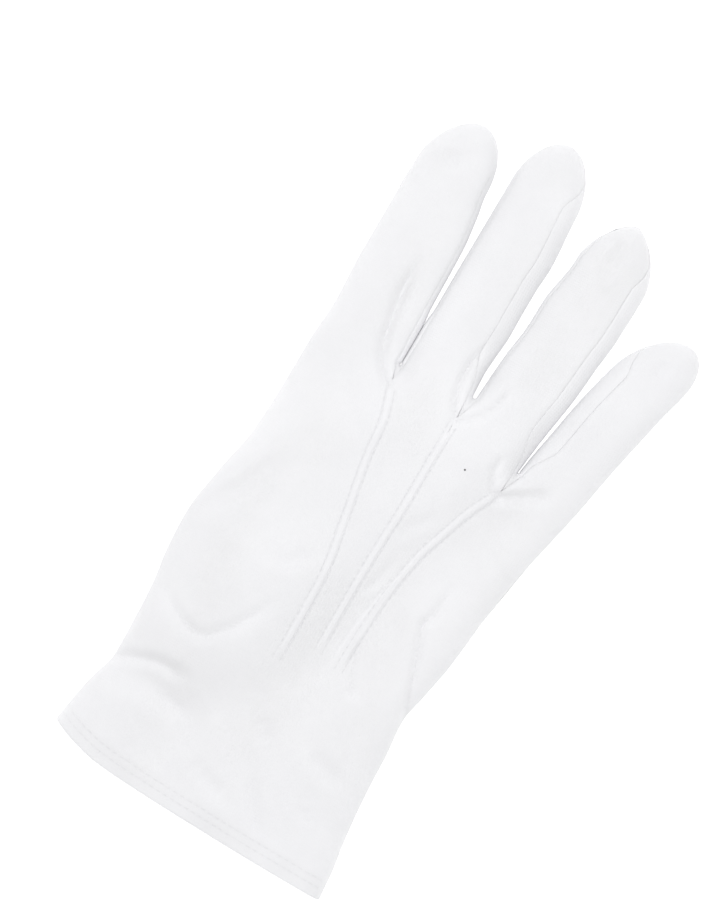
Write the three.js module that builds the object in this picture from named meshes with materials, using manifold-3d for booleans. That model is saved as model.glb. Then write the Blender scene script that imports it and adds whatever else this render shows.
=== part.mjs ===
// A white cotton parade glove for the right hand, lying on its palm with its back up.
// X runs from the index finger's side to the little finger's side, Y from the cuff to the fingertips, Z up.
// Each panel is a sheet of cloth: an outer skin, an inner skin one wall further in, and a closed rim between them.

import * as THREE from 'three';
import Module from 'manifold-3d';

const wasm = await Module();
wasm.setup();

// Sizes in millimetres. HAND_LENGTH runs from the wrist notch to the joint of the two middle crotches.
const HAND_LENGTH = 108;
const PALM_WIDTH = 104;
const WALL = 1.0;
const SEAM_GAP = 0.4;

// The cuff, from the wrist to the middle of its mouth, and its turned in hem.
const CUFF_LENGTH = 51;
const HEM_DEPTH = 6;

// Heights of the glove as it lies, and how far in from the outline its skins curve over.
const HAND_HEIGHT = 11.5;
const MOUTH_HEIGHT = 12.4;
const MIDDLE_SHARE = 0.42;
const ROUNDING_ABOVE = 9;
const ROUNDING_BELOW = 7;
const ROUNDING_POWER = 2.2;

// The raised points on the back: three narrow folds of the back's own cloth.
const POINT_WIDTH = 1.8;
const POINT_FOOT = 3.4;
const POINT_HEIGHT = 1.0;
const POINT_FADE = 6;

// The thumb's pocket, folded in under the palm, and the oval that joins it to the hand.
const THUMB_LENGTH = 117;
const THUMB_WIDTH = 44;
const THUMB_HEIGHT = 7.4;
const THUMB_LEAN = THREE.MathUtils.degToRad(21.5);
const THUMB_START = new THREE.Vector2(-25.6, 1.6);
const THUMB_ROUNDING = 8;
const OVAL_LENGTH = 58;
const OVAL_WIDTH = 29;
const OVAL_ALONG = 39;
const OVAL_ACROSS = -14.5;
const SWELL_BELOW = 12;
const SWELL_ABOVE = 26;
const SWELL_HEIGHT = 5.6;

// The two long sides. up: share of HAND_LENGTH from the wrist; left, right: shares of PALM_WIDTH.
const SIDES = [
  { up: -0.468, left: -0.512, right: 0.503 },
  { up: -0.401, left: -0.500, right: 0.497 },
  { up: -0.259, left: -0.474, right: 0.474 },
  { up: -0.130, left: -0.442, right: 0.463 },
  { up: 0.000, left: -0.443, right: 0.460 },
  { up: 0.111, left: -0.449, right: 0.451 },
  { up: 0.222, left: -0.465, right: 0.471 },
  { up: 0.333, left: -0.470, right: 0.493 },
  { up: 0.500, left: -0.447, right: 0.514 },
  { up: 0.667, left: -0.416, right: 0.543 },
  { up: 0.833, left: -0.406, right: 0.577 },
  { up: 1.000, left: -0.406, right: 0.613 },
];

// The mouth of the cuff. across: share of PALM_WIDTH from the middle; down: share of CUFF_LENGTH.
const MOUTH = [
  { across: -0.50, down: 0.855 },
  { across: -0.42, down: 0.915 },
  { across: -0.32, down: 0.963 },
  { across: -0.20, down: 0.983 },
  { across: 0.00, down: 1.000 },
  { across: 0.25, down: 1.014 },
  { across: 0.50, down: 1.020 },
];

// The fingers. up: share of length from the base; left, right: shares of width from the line at x, before the tip
// closes over its last cap millimetres as a superellipse of the given power.
// Seams, as lengths of cloth from the outline: overLeft and overRight on the back, underLeft and underRight below.
const FINGERS = [
  {
    name: 'index', x: -27.4, base: 108, length: 87, width: 28.6, cap: 19, power: 1.85,
    overLeft: 0, overRight: 4.7, underLeft: 0, underRight: 14.4,
    rows: [
      { up: 0.000, left: -0.517, right: 0.510 },
      { up: 0.149, left: -0.483, right: 0.517 },
      { up: 0.368, left: -0.510, right: 0.507 },
      { up: 0.552, left: -0.510, right: 0.497 },
      { up: 0.690, left: -0.507, right: 0.451 },
      { up: 0.782, left: -0.503, right: 0.406 },
      { up: 1.000, left: -0.451, right: 0.451 },
    ],
  },
  {
    name: 'middle', x: 0.5, base: 108, length: 95.4, width: 26, cap: 19.4, power: 1.95,
    overLeft: 3.5, overRight: 9.2, underLeft: 3.6, underRight: 11.8,
    rows: [
      { up: 0.000, left: -0.473, right: 0.515 },
      { up: 0.168, left: -0.473, right: 0.488 },
      { up: 0.335, left: -0.465, right: 0.527 },
      { up: 0.503, left: -0.462, right: 0.527 },
      { up: 0.597, left: -0.458, right: 0.550 },
      { up: 0.755, left: -0.450, right: 0.515 },
      { up: 1.000, left: -0.458, right: 0.465 },
    ],
  },
  {
    name: 'ring', x: 31, base: 100, length: 91.5, width: 27.5, cap: 18.5, power: 1.55,
    overLeft: 3.5, overRight: 8.5, underLeft: 3.6, underRight: 10.4,
    rows: [
      { up: 0.000, left: -0.622, right: 0.269 },
      { up: 0.186, left: -0.591, right: 0.349 },
      { up: 0.350, left: -0.553, right: 0.436 },
      { up: 0.481, left: -0.498, right: 0.476 },
      { up: 0.612, left: -0.480, right: 0.527 },
      { up: 0.787, left: -0.393, right: 0.545 },
      { up: 1.000, left: -0.400, right: 0.531 },
    ],
  },
  {
    name: 'little', x: 57, base: 92, length: 73.7, width: 25, cap: 17.7, power: 2,
    overLeft: 9, overRight: 0, underLeft: 4.2, underRight: 0,
    rows: [
      { up: 0.000, left: -0.740, right: 0.140 },
      { up: 0.136, left: -0.712, right: 0.224 },
      { up: 0.380, left: -0.588, right: 0.368 },
      { up: 0.543, left: -0.500, right: 0.472 },
      { up: 0.760, left: -0.340, right: 0.624 },
      { up: 1.000, left: -0.112, right: 0.864 },
    ],
  },
];

// The crotches. slit: where the two fingers part; joint: where the gusset's seams meet on the back; jointBelow: the
// same on the palm. From a length of cloth of SEAM_START at the slit the seams reach their own places SEAM_RISE
// further up on the back, and twice as far up on the palm.
const CROTCHES = [
  { name: 'index_middle', slit: [-12.3, 113.6], joint: [-12.1, 107.8], jointBelow: [-12.2, 106.5] },
  { name: 'middle_ring', slit: [14.2, 116.4], joint: [12.3, 107.6], jointBelow: [14.1, 108.5] },
  { name: 'ring_little', slit: [38.9, 102.2], joint: [36.8, 93.8], jointBelow: [38.4, 94] },
];
const SEAM_START = 4.4;
const SEAM_RISE = 14;
const JOINT_GAP = 1.4;
const HALF_DOWN = 0.45;

// The raised points' courses, from the joints of the crotches down to the hem. up: share of HAND_LENGTH; the others:
// shares of PALM_WIDTH from the middle of the wrist.
const POINTS = [
  { up: -0.46, index_middle: -0.100, middle_ring: 0.105, ring_little: 0.245 },
  { up: -0.14, index_middle: -0.022, middle_ring: 0.105, ring_little: 0.203 },
  { up: 0.17, index_middle: 0.007, middle_ring: 0.107, ring_little: 0.193 },
  { up: 0.36, index_middle: 0.003, middle_ring: 0.106, ring_little: 0.201 },
  { up: 0.56, index_middle: -0.028, middle_ring: 0.108, ring_little: 0.230 },
  { up: 0.66, index_middle: -0.047, middle_ring: 0.113, ring_little: 0.262 },
  { up: 0.76, index_middle: -0.065, middle_ring: 0.114, ring_little: 0.299 },
  { up: 0.87, index_middle: -0.077, middle_ring: 0.115, ring_little: 0.354 },
  { up: 1.00, index_middle: -0.1165, middle_ring: 0.118, ring_little: 0.43 },
];
const POINT_LOW_ENDS = [16, 20, 20];

// The thumb's leaf. along: share of THUMB_LENGTH; left, right: shares of THUMB_WIDTH off its lean line; height:
// share of THUMB_HEIGHT. Both ends close as superellipses.
const THUMB_ROWS = [
  { along: 0.00, left: -0.54, right: 0.14, height: 1.0 },
  { along: 0.13, left: -0.66, right: 0.14, height: 1.0 },
  { along: 0.26, left: -0.81, right: 0.15, height: 1.0 },
  { along: 0.38, left: -0.77, right: 0.14, height: 1.0 },
  { along: 0.51, left: -0.65, right: 0.16, height: 0.98 },
  { along: 0.64, left: -0.50, right: 0.19, height: 0.93 },
  { along: 0.77, left: -0.34, right: 0.22, height: 0.87 },
  { along: 0.89, left: -0.24, right: 0.22, height: 0.82 },
  { along: 1.00, left: -0.19, right: 0.19, height: 0.80 },
];
const THUMB_BASE_CAP = 15;
const THUMB_TIP_CAP = 13;

// Soft folds and hollows of the back, each along a line between two ends. across: share of PALM_WIDTH; up and half,
// which is half the fold's width: shares of HAND_LENGTH; deep: share of HAND_HEIGHT.
const FOLDS = [
  { acrossFrom: -0.452, upFrom: -0.157, acrossTo: -0.298, upTo: -0.093, half: 0.050, deep: 0.130 },
  { acrossFrom: -0.298, upFrom: -0.093, acrossTo: -0.173, upTo: -0.088, half: 0.045, deep: 0.100 },
  { acrossFrom: 0.374, upFrom: 0.503, acrossTo: 0.346, upTo: 0.370, half: 0.045, deep: 0.090 },
  { acrossFrom: 0.346, upFrom: 0.370, acrossTo: 0.442, upTo: 0.130, half: 0.055, deep: 0.120 },
  { acrossFrom: 0.199, upFrom: 0.239, acrossTo: 0.270, upTo: 0.105, half: 0.045, deep: 0.060 },
  { acrossFrom: -0.240, upFrom: 1.380, acrossTo: -0.221, upTo: 1.110, half: 0.045, deep: 0.075 },
  { acrossFrom: -0.221, upFrom: 1.110, acrossTo: -0.135, upTo: 0.985, half: 0.040, deep: 0.070 },
  { acrossFrom: 0.094, upFrom: 1.012, acrossTo: 0.063, upTo: 1.176, half: 0.040, deep: 0.055 },
  { acrossFrom: 0.163, upFrom: 1.010, acrossTo: 0.212, upTo: 1.130, half: 0.040, deep: 0.055 },
  { acrossFrom: 0.298, upFrom: 1.640, acrossTo: 0.298, upTo: 1.730, half: 0.050, deep: 0.130 },
  { acrossFrom: -0.308, upFrom: 1.639, acrossTo: -0.279, upTo: 1.722, half: 0.055, deep: 0.105 },
  { acrossFrom: 0.587, upFrom: 1.398, acrossTo: 0.606, upTo: 1.463, half: 0.045, deep: 0.087 },
  { acrossFrom: -0.135, upFrom: -0.306, acrossTo: -0.010, upTo: -0.330, half: 0.080, deep: 0.085 },
  { acrossFrom: 0.096, upFrom: -0.325, acrossTo: 0.192, upTo: -0.278, half: 0.070, deep: 0.080 },
  { acrossFrom: 0.270, upFrom: -0.176, acrossTo: 0.356, upTo: -0.111, half: 0.065, deep: 0.065 },
];

// Looks.
const COTTON = { color: 0xf3f3f2, roughness: 0.95, metalness: 0 };

const mix = THREE.MathUtils.lerp;
const ease = THREE.MathUtils.smoothstep;

// The named column of a table at a place between its rows, as a smooth curve that never overshoots.
function readTable(rows, key, column, place) {
  const last = rows.length - 2;
  let i = 0;
  while (i < last && place > rows[i + 1][key]) {
    i += 1;
  }
  const slope = (k) => (rows[k + 1][column] - rows[k][column]) / (rows[k + 1][key] - rows[k][key]);
  const turn = (k) => {
    if (k === 0 || k === rows.length - 1) {
      return slope(Math.min(k, last));
    }
    const before = slope(k - 1);
    const after = slope(k);
    return before * after <= 0 ? 0 : (2 * before * after) / (before + after);
  };
  const step = rows[i + 1][key] - rows[i][key];
  const t = (place - rows[i][key]) / step;
  if (t < 0 || t > 1) {
    return t < 0 ? rows[i][column] + turn(0) * t * step : rows[i + 1][column] + turn(i + 1) * (t - 1) * step;
  }
  const a = 2 * t ** 3 - 3 * t ** 2 + 1;
  const b = t ** 3 - 2 * t ** 2 + t;
  const c = -2 * t ** 3 + 3 * t ** 2;
  const d = t ** 3 - t ** 2;
  return a * rows[i][column] + b * step * turn(i) + c * rows[i + 1][column] + d * step * turn(i + 1);
}

// How wide a rounded end still is at a share of the way to its tip.
function closing(share, power) {
  const t = THREE.MathUtils.clamp(share, 0, 1);
  return (1 - t ** power) ** (1 / power);
}

// A finger's outline: x on its left (-1) or right (1) side.
function fingerEdge(finger, side, y) {
  const up = (y - finger.base) / finger.length;
  const left = finger.x + finger.width * readTable(finger.rows, 'up', 'left', up);
  const right = finger.x + finger.width * readTable(finger.rows, 'up', 'right', up);
  const tip = finger.base + finger.length;
  const close = closing((y - tip + finger.cap) / finger.cap, finger.power);
  return (left + right) / 2 + (side * close * (right - left)) / 2;
}

// The glove's long sides, up into the outer edges of the index and little fingers.
function sideEdge(side, y) {
  const finger = side < 0 ? FINGERS[0] : FINGERS[3];
  if (y > finger.base) {
    return fingerEdge(finger, side, y);
  }
  return PALM_WIDTH * readTable(SIDES, 'up', side < 0 ? 'left' : 'right', y / HAND_LENGTH);
}

// The thumb's leaf: a point at a length along it and a distance to the right of its lean line.
function thumbPoint(along, across) {
  return new THREE.Vector2(
    THUMB_START.x + along * Math.sin(THUMB_LEAN) + across * Math.cos(THUMB_LEAN),
    THUMB_START.y + along * Math.cos(THUMB_LEAN) - across * Math.sin(THUMB_LEAN),
  );
}

function thumbAlong(x, y) {
  return (x - THUMB_START.x) * Math.sin(THUMB_LEAN) + (y - THUMB_START.y) * Math.cos(THUMB_LEAN);
}

function thumbEdge(side, along) {
  const share = along / THUMB_LENGTH;
  const left = THUMB_WIDTH * readTable(THUMB_ROWS, 'along', 'left', share);
  const right = THUMB_WIDTH * readTable(THUMB_ROWS, 'along', 'right', share);
  const base = closing(1 - along / THUMB_BASE_CAP, 2);
  const tip = closing(1 - (THUMB_LENGTH - along) / THUMB_TIP_CAP, 2);
  return (left + right) / 2 + (side * base * tip * (right - left)) / 2;
}

function thumbHeight(x, y) {
  const share = THREE.MathUtils.clamp(thumbAlong(x, y) / THUMB_LENGTH, 0, 1);
  return THUMB_HEIGHT * readTable(THUMB_ROWS, 'along', 'height', share);
}

// Places from a to b, closer together toward b.
function crowded(a, b, count) {
  return Array.from({ length: count + 1 }, (_, i) => mix(a, b, Math.sin(((i / count) * Math.PI) / 2)));
}

// The glove's whole outline as one open line: up the index finger's side, round every finger and slit, and down.
function gloveOutline() {
  const line = [];
  const low = -1.4 * CUFF_LENGTH;
  for (let y = low; y < FINGERS[0].base; y += 2) {
    line.push(new THREE.Vector2(sideEdge(-1, y), y));
  }
  FINGERS.forEach((finger, i) => {
    const tip = finger.base + finger.length;
    const start = i === 0 ? finger.base : CROTCHES[i - 1].slit[1];
    const end = i === 3 ? finger.base : CROTCHES[i].slit[1];
    for (const y of crowded(start, tip, 60)) {
      line.push(new THREE.Vector2(fingerEdge(finger, -1, y), y));
    }
    for (const y of crowded(end, tip, 60).reverse().slice(1)) {
      line.push(new THREE.Vector2(fingerEdge(finger, 1, y), y));
    }
    if (i < 3) {
      line.push(...slitEnd(i).slice(1, -1));
    }
  });
  for (let y = FINGERS[3].base; y > low; y -= 2) {
    line.push(new THREE.Vector2(sideEdge(1, y), y));
  }
  return line;
}

// The small round bottom of a slit, from the finger on its left to the finger on its right.
function slitEnd(i) {
  const y = CROTCHES[i].slit[1];
  const left = fingerEdge(FINGERS[i], 1, y);
  const right = fingerEdge(FINGERS[i + 1], -1, y);
  const radius = (right - left) / 2;
  return [0, 0.25, 0.5, 0.75, 1].map((t) => {
    const turn = Math.PI * (1 + t);
    return new THREE.Vector2(left + radius + radius * Math.cos(turn), y + radius * Math.sin(turn));
  });
}

function thumbOutline() {
  const line = [];
  for (const side of [-1, 1]) {
    const run = [];
    for (let i = 0; i <= 90; i += 1) {
      const along = (THUMB_LENGTH * (1 - Math.cos((Math.PI * i) / 90))) / 2;
      run.push(thumbPoint(along, thumbEdge(side, along)));
    }
    line.push(...(side < 0 ? run : run.reverse()));
  }
  return line;
}

// The nearest place of a line to a point: how far off it is, and the direction from it to the point.
function nearest(line, x, y) {
  let best = Infinity;
  let away = [0, 0];
  for (let i = 0; i + 1 < line.length; i += 1) {
    const a = line[i];
    const b = line[i + 1];
    const dx = b.x - a.x;
    const dy = b.y - a.y;
    const size = dx * dx + dy * dy;
    const t = size === 0 ? 0 : THREE.MathUtils.clamp(((x - a.x) * dx + (y - a.y) * dy) / size, 0, 1);
    const ox = x - a.x - t * dx;
    const oy = y - a.y - t * dy;
    const far = ox * ox + oy * oy;
    if (far < best) {
      best = far;
      away = [ox, oy];
    }
  }
  const distance = Math.sqrt(best);
  return { distance, nx: away[0] / (distance || 1), ny: away[1] / (distance || 1) };
}

const OUTLINE = gloveOutline();
const THUMB_OUTLINE = thumbOutline();

// Whether a point lies inside the thumb's leaf, and how far it is from the leaf's edge.
function thumbDepth(x, y) {
  let inside = false;
  for (let i = 0; i + 1 < THUMB_OUTLINE.length; i += 1) {
    const a = THUMB_OUTLINE[i];
    const b = THUMB_OUTLINE[i + 1];
    if (a.y > y !== b.y > y && x < a.x + ((y - a.y) * (b.x - a.x)) / (b.y - a.y)) {
      inside = !inside;
    }
  }
  const { distance } = nearest(THUMB_OUTLINE, x, y);
  return inside ? distance : -distance;
}

// How far a fold's hollow reaches down at a point of the back.
function foldDepth(x, y) {
  let deep = 0;
  for (const fold of FOLDS) {
    const from = new THREE.Vector2(fold.acrossFrom * PALM_WIDTH, fold.upFrom * HAND_LENGTH);
    const to = new THREE.Vector2(fold.acrossTo * PALM_WIDTH, fold.upTo * HAND_LENGTH);
    const { distance } = nearest([from, to], x, y);
    deep += fold.deep * HAND_HEIGHT * (1 - ease(distance, 0, fold.half * HAND_LENGTH));
  }
  return deep;
}

// Where the mouth of the cuff lies.
function mouthY(x) {
  return -CUFF_LENGTH * readTable(MOUTH, 'across', 'down', x / PALM_WIDTH);
}

// The glove's body at a point of the plan: the height of its side line, and how far it rises and falls from there.
function body(x, y) {
  const inThumb = thumbDepth(x, y);
  const lift = 1 - ease(-inThumb, 3.5, 3.5 + SWELL_BELOW);
  const swell = ease(inThumb, -SWELL_ABOVE, 2);
  const opened = 1 - ease(y - mouthY(x), 0, 32);
  const floor = lift * (thumbHeight(x, y) + SEAM_GAP);
  const roof = mix(HAND_HEIGHT, MOUTH_HEIGHT, opened) + SWELL_HEIGHT * swell - foldDepth(x, y);
  const level = mix(floor, roof, MIDDLE_SHARE);
  return { level, rise: roof - level, fall: level - floor };
}

// The quarter of the cross section from the side line inward, followed for a length of cloth: how far in from the
// outline that is, and what share of the full height is reached.
function reach(length, rounding, height) {
  const steps = 48;
  let done = 0;
  let before = [0, 0];
  for (let i = 1; i <= steps; i += 1) {
    const turn = ((i / steps) * Math.PI) / 2;
    const now = [
      rounding * (1 - Math.cos(turn) ** (2 / ROUNDING_POWER)),
      height * Math.sin(turn) ** (2 / ROUNDING_POWER),
    ];
    const piece = Math.hypot(now[0] - before[0], now[1] - before[1]);
    if (done + piece >= length) {
      const t = (length - done) / piece;
      return { inward: mix(before[0], now[0], t), share: mix(before[1], now[1], t) / height };
    }
    done += piece;
    before = now;
  }
  return { inward: rounding + length - done, share: 1 };
}

// The share of the full height at a distance in from the outline.
function shareAt(inward, rounding) {
  return (1 - Math.max(0, 1 - inward / rounding) ** ROUNDING_POWER) ** (1 / ROUNDING_POWER);
}

// A point of the skin, inset from the outermost one. side: 1 above the side line, -1 below it. known holds the
// distance and direction in from the outline, and share the part of the height reached there.
function skinPoint(place, side, inset, known = nearest(OUTLINE, place.x, place.y), share = null) {
  const rounding = side > 0 ? ROUNDING_ABOVE : ROUNDING_BELOW;
  const { level, rise, fall } = body(place.x, place.y);
  const part = share === null ? shareAt(known.distance, rounding) : share;
  const shift = inset * Math.max(0, 1 - known.distance / rounding);
  const height = side > 0 ? rise - inset : -(fall - inset);
  const bump = side > 0 ? place.bump || 0 : 0;
  return new THREE.Vector3(
    place.x + known.nx * shift,
    place.y + known.ny * shift,
    level + height * part + (inset === 0 ? bump : 0),
  );
}

// A sheet of cloth under construction: skins inset by outer and inner, joined round every free edge.
class Sheet {
  constructor(outer = 0, inner = WALL) {
    this.insets = [outer, inner];
    this.points = [];
    this.known = new Map();
    this.faces = [];
  }

  add(pair) {
    const name = pair.map((p) => `${Math.round(p.x * 500)},${Math.round(p.y * 500)},${Math.round(p.z * 500)}`);
    const key = name.join(' ');
    if (!this.known.has(key)) {
      this.known.set(key, this.points.length);
      this.points.push(pair);
    }
    return this.known.get(key);
  }

  // A place of the plan as a point of both skins.
  place(place, side, known, share) {
    return this.add(this.insets.map((inset) => skinPoint(place, side, inset, known, share)));
  }

  triangle(a, b, c) {
    if (a !== b && b !== c && c !== a) {
      this.faces.push([a, b, c]);
    }
  }

  // Rows of points, with the outside seen on the left of the way from row to row unless turned.
  patch(rows, turned = false) {
    for (let r = 0; r + 1 < rows.length; r += 1) {
      for (let c = 0; c + 1 < rows[r].length; c += 1) {
        const ring = [rows[r][c], rows[r][c + 1], rows[r + 1][c + 1], rows[r + 1][c]];
        const [p, q, s, t] = turned ? ring.reverse() : ring;
        this.triangle(p, q, s);
        this.triangle(p, s, t);
      }
    }
  }

  geometry() {
    const count = this.points.length;
    const index = [];
    const edges = new Set(this.faces.flatMap(([a, b, c]) => [`${a} ${b}`, `${b} ${c}`, `${c} ${a}`]));
    for (const [a, b, c] of this.faces) {
      index.push(a, b, c, a + count, c + count, b + count);
    }
    for (const edge of edges) {
      const [a, b] = edge.split(' ').map(Number);
      if (edges.has(`${b} ${a}`)) {
        continue;
      }
      if (this.points[a][0].y < this.points[b][0].y) {
        index.push(b, a, a + count, b, a + count, b + count);
      } else {
        index.push(b, a, b + count, a, a + count, b + count);
      }
    }
    const places = [0, 1].flatMap((skin) => this.points.flatMap((pair) => pair[skin].toArray()));
    const made = new THREE.BufferGeometry();
    made.setAttribute('position', new THREE.Float32BufferAttribute(places, 3));
    made.setIndex(index);
    return made;
  }
}

// A point of a finger's outline with the direction inward from it. The outermost sides run on down the hand.
function edgePlace(finger, side, y) {
  const free = finger === FINGERS[side < 0 ? 0 : 3];
  const edge = (at) => (free ? sideEdge(side, at) : fingerEdge(finger, side, at));
  const high = Math.min(y, finger.base + finger.length);
  const x = edge(high);
  const slope = (x - edge(high - 0.4)) / 0.4;
  const long = Math.hypot(slope, 1);
  return { x, y: high, nx: -side / long, ny: (side * slope) / long };
}

// The seam between a panel and a gusset, or between the two panels, on a finger's side. over: 1 for the back's seam,
// -1 for the palm's. slack moves it off the seam line, away from the outline.
function seamPlace(i, side, y, over, slack) {
  const finger = FINGERS[i];
  const crotch = CROTCHES[side > 0 ? i : i - 1];
  const word = side > 0 ? 'Right' : 'Left';
  const full = over > 0 ? finger[`over${word}`] : finger[`under${word}`];
  const rise = over > 0 ? SEAM_RISE : 2 * SEAM_RISE;
  const start = crotch ? crotch.slit[1] : y;
  const cloth = mix(Math.min(full, SEAM_START), full, ease(y, start, start + rise));
  const end = rowY(i, side, SEAM_END);
  const taper = 1 - ease(y, end - 3 * Math.sqrt(full) - 6, end);
  const edge = edgePlace(finger, side, y);
  const { rise: above, fall } = body(edge.x, edge.y);
  const rounding = over > 0 ? ROUNDING_ABOVE : ROUNDING_BELOW;
  const { inward, share } = reach(Math.max(0, cloth * taper + slack), rounding, over > 0 ? above : fall);
  const place = { x: edge.x + edge.nx * inward, y: edge.y + edge.ny * inward };
  return { edge, place, share, known: { distance: inward, nx: edge.nx, ny: edge.ny } };
}

// The same seam below the slit: a share of the way down to the joint of the gusset's two seams, or to a place short of
// that joint.
function jointPlace(i, side, over, slack, share, short) {
  const crotch = CROTCHES[side > 0 ? i : i - 1];
  const seam = seamPlace(i, side, crotch.slit[1], over, slack);
  const joint = new THREE.Vector2(...(over > 0 ? crotch.joint : crotch.jointBelow));
  const end = new THREE.Vector2(...crotch.slit).sub(joint).setLength(short).add(joint);
  const place = { x: mix(seam.place.x, end.x, share), y: mix(seam.place.y, end.y, share) };
  return { edge: seam.edge, place, share: null, known: nearest(OUTLINE, place.x, place.y) };
}

const SEAM_END = 0.95;
const ROWS_UP_FINGER = [0, 0.07, 0.16, 0.28, 0.42, 0.56, 0.7, 0.81, 0.89, 0.95, 0.982, 1];

// The height along a finger's side of one of its rows: from the crotch, or from low on a free side, to the tip.
function rowY(i, side, share) {
  const crotch = CROTCHES[side > 0 ? i : i - 1];
  const low = crotch ? crotch.slit[1] : FINGERS[i].base - 2;
  return mix(low, FINGERS[i].base + FINGERS[i].length, share);
}

// Where the lines that divide the hand into four run: the left side, the three raised points, the right side.
function divider(line, share) {
  if (line === 0 || line === 4) {
    const side = line === 0 ? -1 : 1;
    const low = mouthY((side * PALM_WIDTH) / 2);
    const y = mix(low, FINGERS[line === 0 ? 0 : 3].base - 8, share);
    return { x: sideEdge(side, y), y };
  }
  const crotch = CROTCHES[line - 1];
  const along = (y) => PALM_WIDTH * readTable(POINTS, 'up', crotch.name, y / HAND_LENGTH);
  const [jointX, jointY] = crotch.joint;
  const y = mix(mouthY(along(-CUFF_LENGTH)), jointY, share);
  return { x: along(y) + (jointX - along(jointY)) * ease(y, jointY - 14, jointY), y };
}

// A place of the hand in a row between two of those lines: a share of the way across. The rows bow as the mouth does.
function rowPlace(a, b, across, share) {
  const x = mix(a.x, b.x, across);
  const bow = mouthY(x) - mix(mouthY(a.x), mouthY(b.x), across);
  return { x, y: mix(a.y, b.y, across) + bow * (1 - share) ** 2 };
}

// How high a raised point stands at a share of the way up its course.
function pointHeight(line, share) {
  if (line === 0 || line === 4) {
    return 0;
  }
  const { y } = divider(line, share);
  const low = POINT_LOW_ENDS[line - 1];
  const top = CROTCHES[line - 1].joint[1];
  return POINT_HEIGHT * ease(y, low, low + POINT_FADE) * (1 - ease(y, top - POINT_FADE, top));
}

const ROWS_UP_HAND = [0, 0.04, 0.09, 0.145, 0.2, 0.255, 0.315, 0.375, 0.44, 0.505, 0.57, 0.64, 0.71, 0.78, 0.85, 0.925, 1];

// The columns of each quarter of a panel, as shares from its left line to its right one.
const BACK_COLUMNS = [
  [0, 0.012, 0.045, 0.11, 0.24, 0.48, 0.74, 0.9, 1],
  [0, 0.08, 0.2, 0.35, 0.5, 0.65, 0.8, 0.92, 1],
  [0, 0.08, 0.2, 0.35, 0.5, 0.65, 0.8, 0.92, 1],
  [0, 0.1, 0.26, 0.52, 0.76, 0.89, 0.955, 0.988, 1],
];
const PALM_COLUMNS = [
  [0, 0.012, 0.045, 0.11, 0.24, 0.37, 0.5, 0.62, 0.74, 0.87, 1],
  [0, 0.16, 0.33, 0.5, 0.67, 0.84, 1],
  [0, 0.14, 0.36, 0.64, 0.86, 1],
  [0, 0.4, 0.76, 0.89, 0.955, 0.988, 1],
];

// On the back of the hand the columns next to a raised point keep to that point's own width.
function backShare(quarter, column, width) {
  const plain = BACK_COLUMNS[quarter][column];
  const foot = POINT_FOOT / 2 / width;
  const crest = POINT_WIDTH / 2 / width;
  const left = quarter > 0 ? { 1: crest, 2: foot } : {};
  const right = quarter < 3 ? { 6: 1 - foot, 7: 1 - crest } : {};
  return { ...left, ...right }[column] ?? plain;
}

// One big panel, the back (over 1) or the palm (over -1): the hand in four quarters, and a finger on each.
function panel(over) {
  const sheet = new Sheet();
  const columns = over > 0 ? BACK_COLUMNS : PALM_COLUMNS;
  const slack = SEAM_GAP / 2;
  const outer = (place, side) => {
    const { rise, fall } = body(place.x, place.y);
    const rounding = over > 0 ? ROUNDING_ABOVE : ROUNDING_BELOW;
    const { inward, share } = reach(slack, rounding, over > 0 ? rise : fall);
    const slope = (sideEdge(side, place.y + 1) - sideEdge(side, place.y - 1)) / 2;
    const long = Math.hypot(slope, 1);
    const known = { distance: inward, nx: -side / long, ny: (side * slope) / long };
    return sheet.place({ x: place.x + known.nx * inward, y: place.y + known.ny * inward }, over, known, share);
  };
  for (let quarter = 0; quarter < 4; quarter += 1) {
    const shares = columns[quarter];
    const hand = ROWS_UP_HAND.map((share) => {
      const a = divider(quarter, share);
      const b = divider(quarter + 1, share);
      const width = Math.hypot(b.x - a.x, b.y - a.y);
      return shares.map((plain, column) => {
        const last = column === shares.length - 1;
        if ((quarter === 0 && column === 0) || (quarter === 3 && last)) {
          return outer(column === 0 ? a : b, column === 0 ? -1 : 1);
        }
        let t = plain;
        let bump = 0;
        if (over > 0) {
          t = mix(backShare(quarter, column, width), plain, ease(share, 0.9, 1));
          const near = { 0: quarter, 1: quarter, 7: quarter + 1, 8: quarter + 1 }[column];
          bump = near === undefined ? 0 : pointHeight(near, share);
        }
        const place = { ...rowPlace(a, b, t, share), bump };
        if (over < 0) {
          const drop = ease(share, 0.8, 1);
          const ends = [quarter, quarter + 1].map((line) => {
            const crotch = CROTCHES[line - 1];
            return crotch ? [crotch.jointBelow[0] - crotch.joint[0], crotch.jointBelow[1] - crotch.joint[1]] : [0, 0];
          });
          place.x += drop * mix(ends[0][0], ends[1][0], t);
          place.y += drop * mix(ends[0][1], ends[1][1], t);
        }
        return sheet.place(place, over);
      });
    });
    sheet.patch(hand, over < 0);
    const top = [-1, ...ROWS_UP_FINGER].map((share) => {
      const [left, right] = [-1, 1].map((side) => {
        if (share >= 0) {
          return seamPlace(quarter, side, rowY(quarter, side, share), over, slack);
        }
        return CROTCHES[side > 0 ? quarter : quarter - 1]
          ? jointPlace(quarter, side, over, slack, HALF_DOWN, 0)
          : seamPlace(quarter, side, FINGERS[quarter].base - 5, over, slack);
      });
      return shares.map((t, column) => {
        if (column === 0 || column === shares.length - 1 || share === 1) {
          const end = column === 0 ? left : right;
          const spot = share === 1 ? left : end;
          return sheet.place(spot.place, over, spot.known, spot.share);
        }
        return sheet.place({ x: mix(left.place.x, right.place.x, t), y: mix(left.place.y, right.place.y, t) }, over);
      });
    });
    sheet.patch([hand.at(-1), ...top], over < 0);
  }
  return sheet;
}

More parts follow.
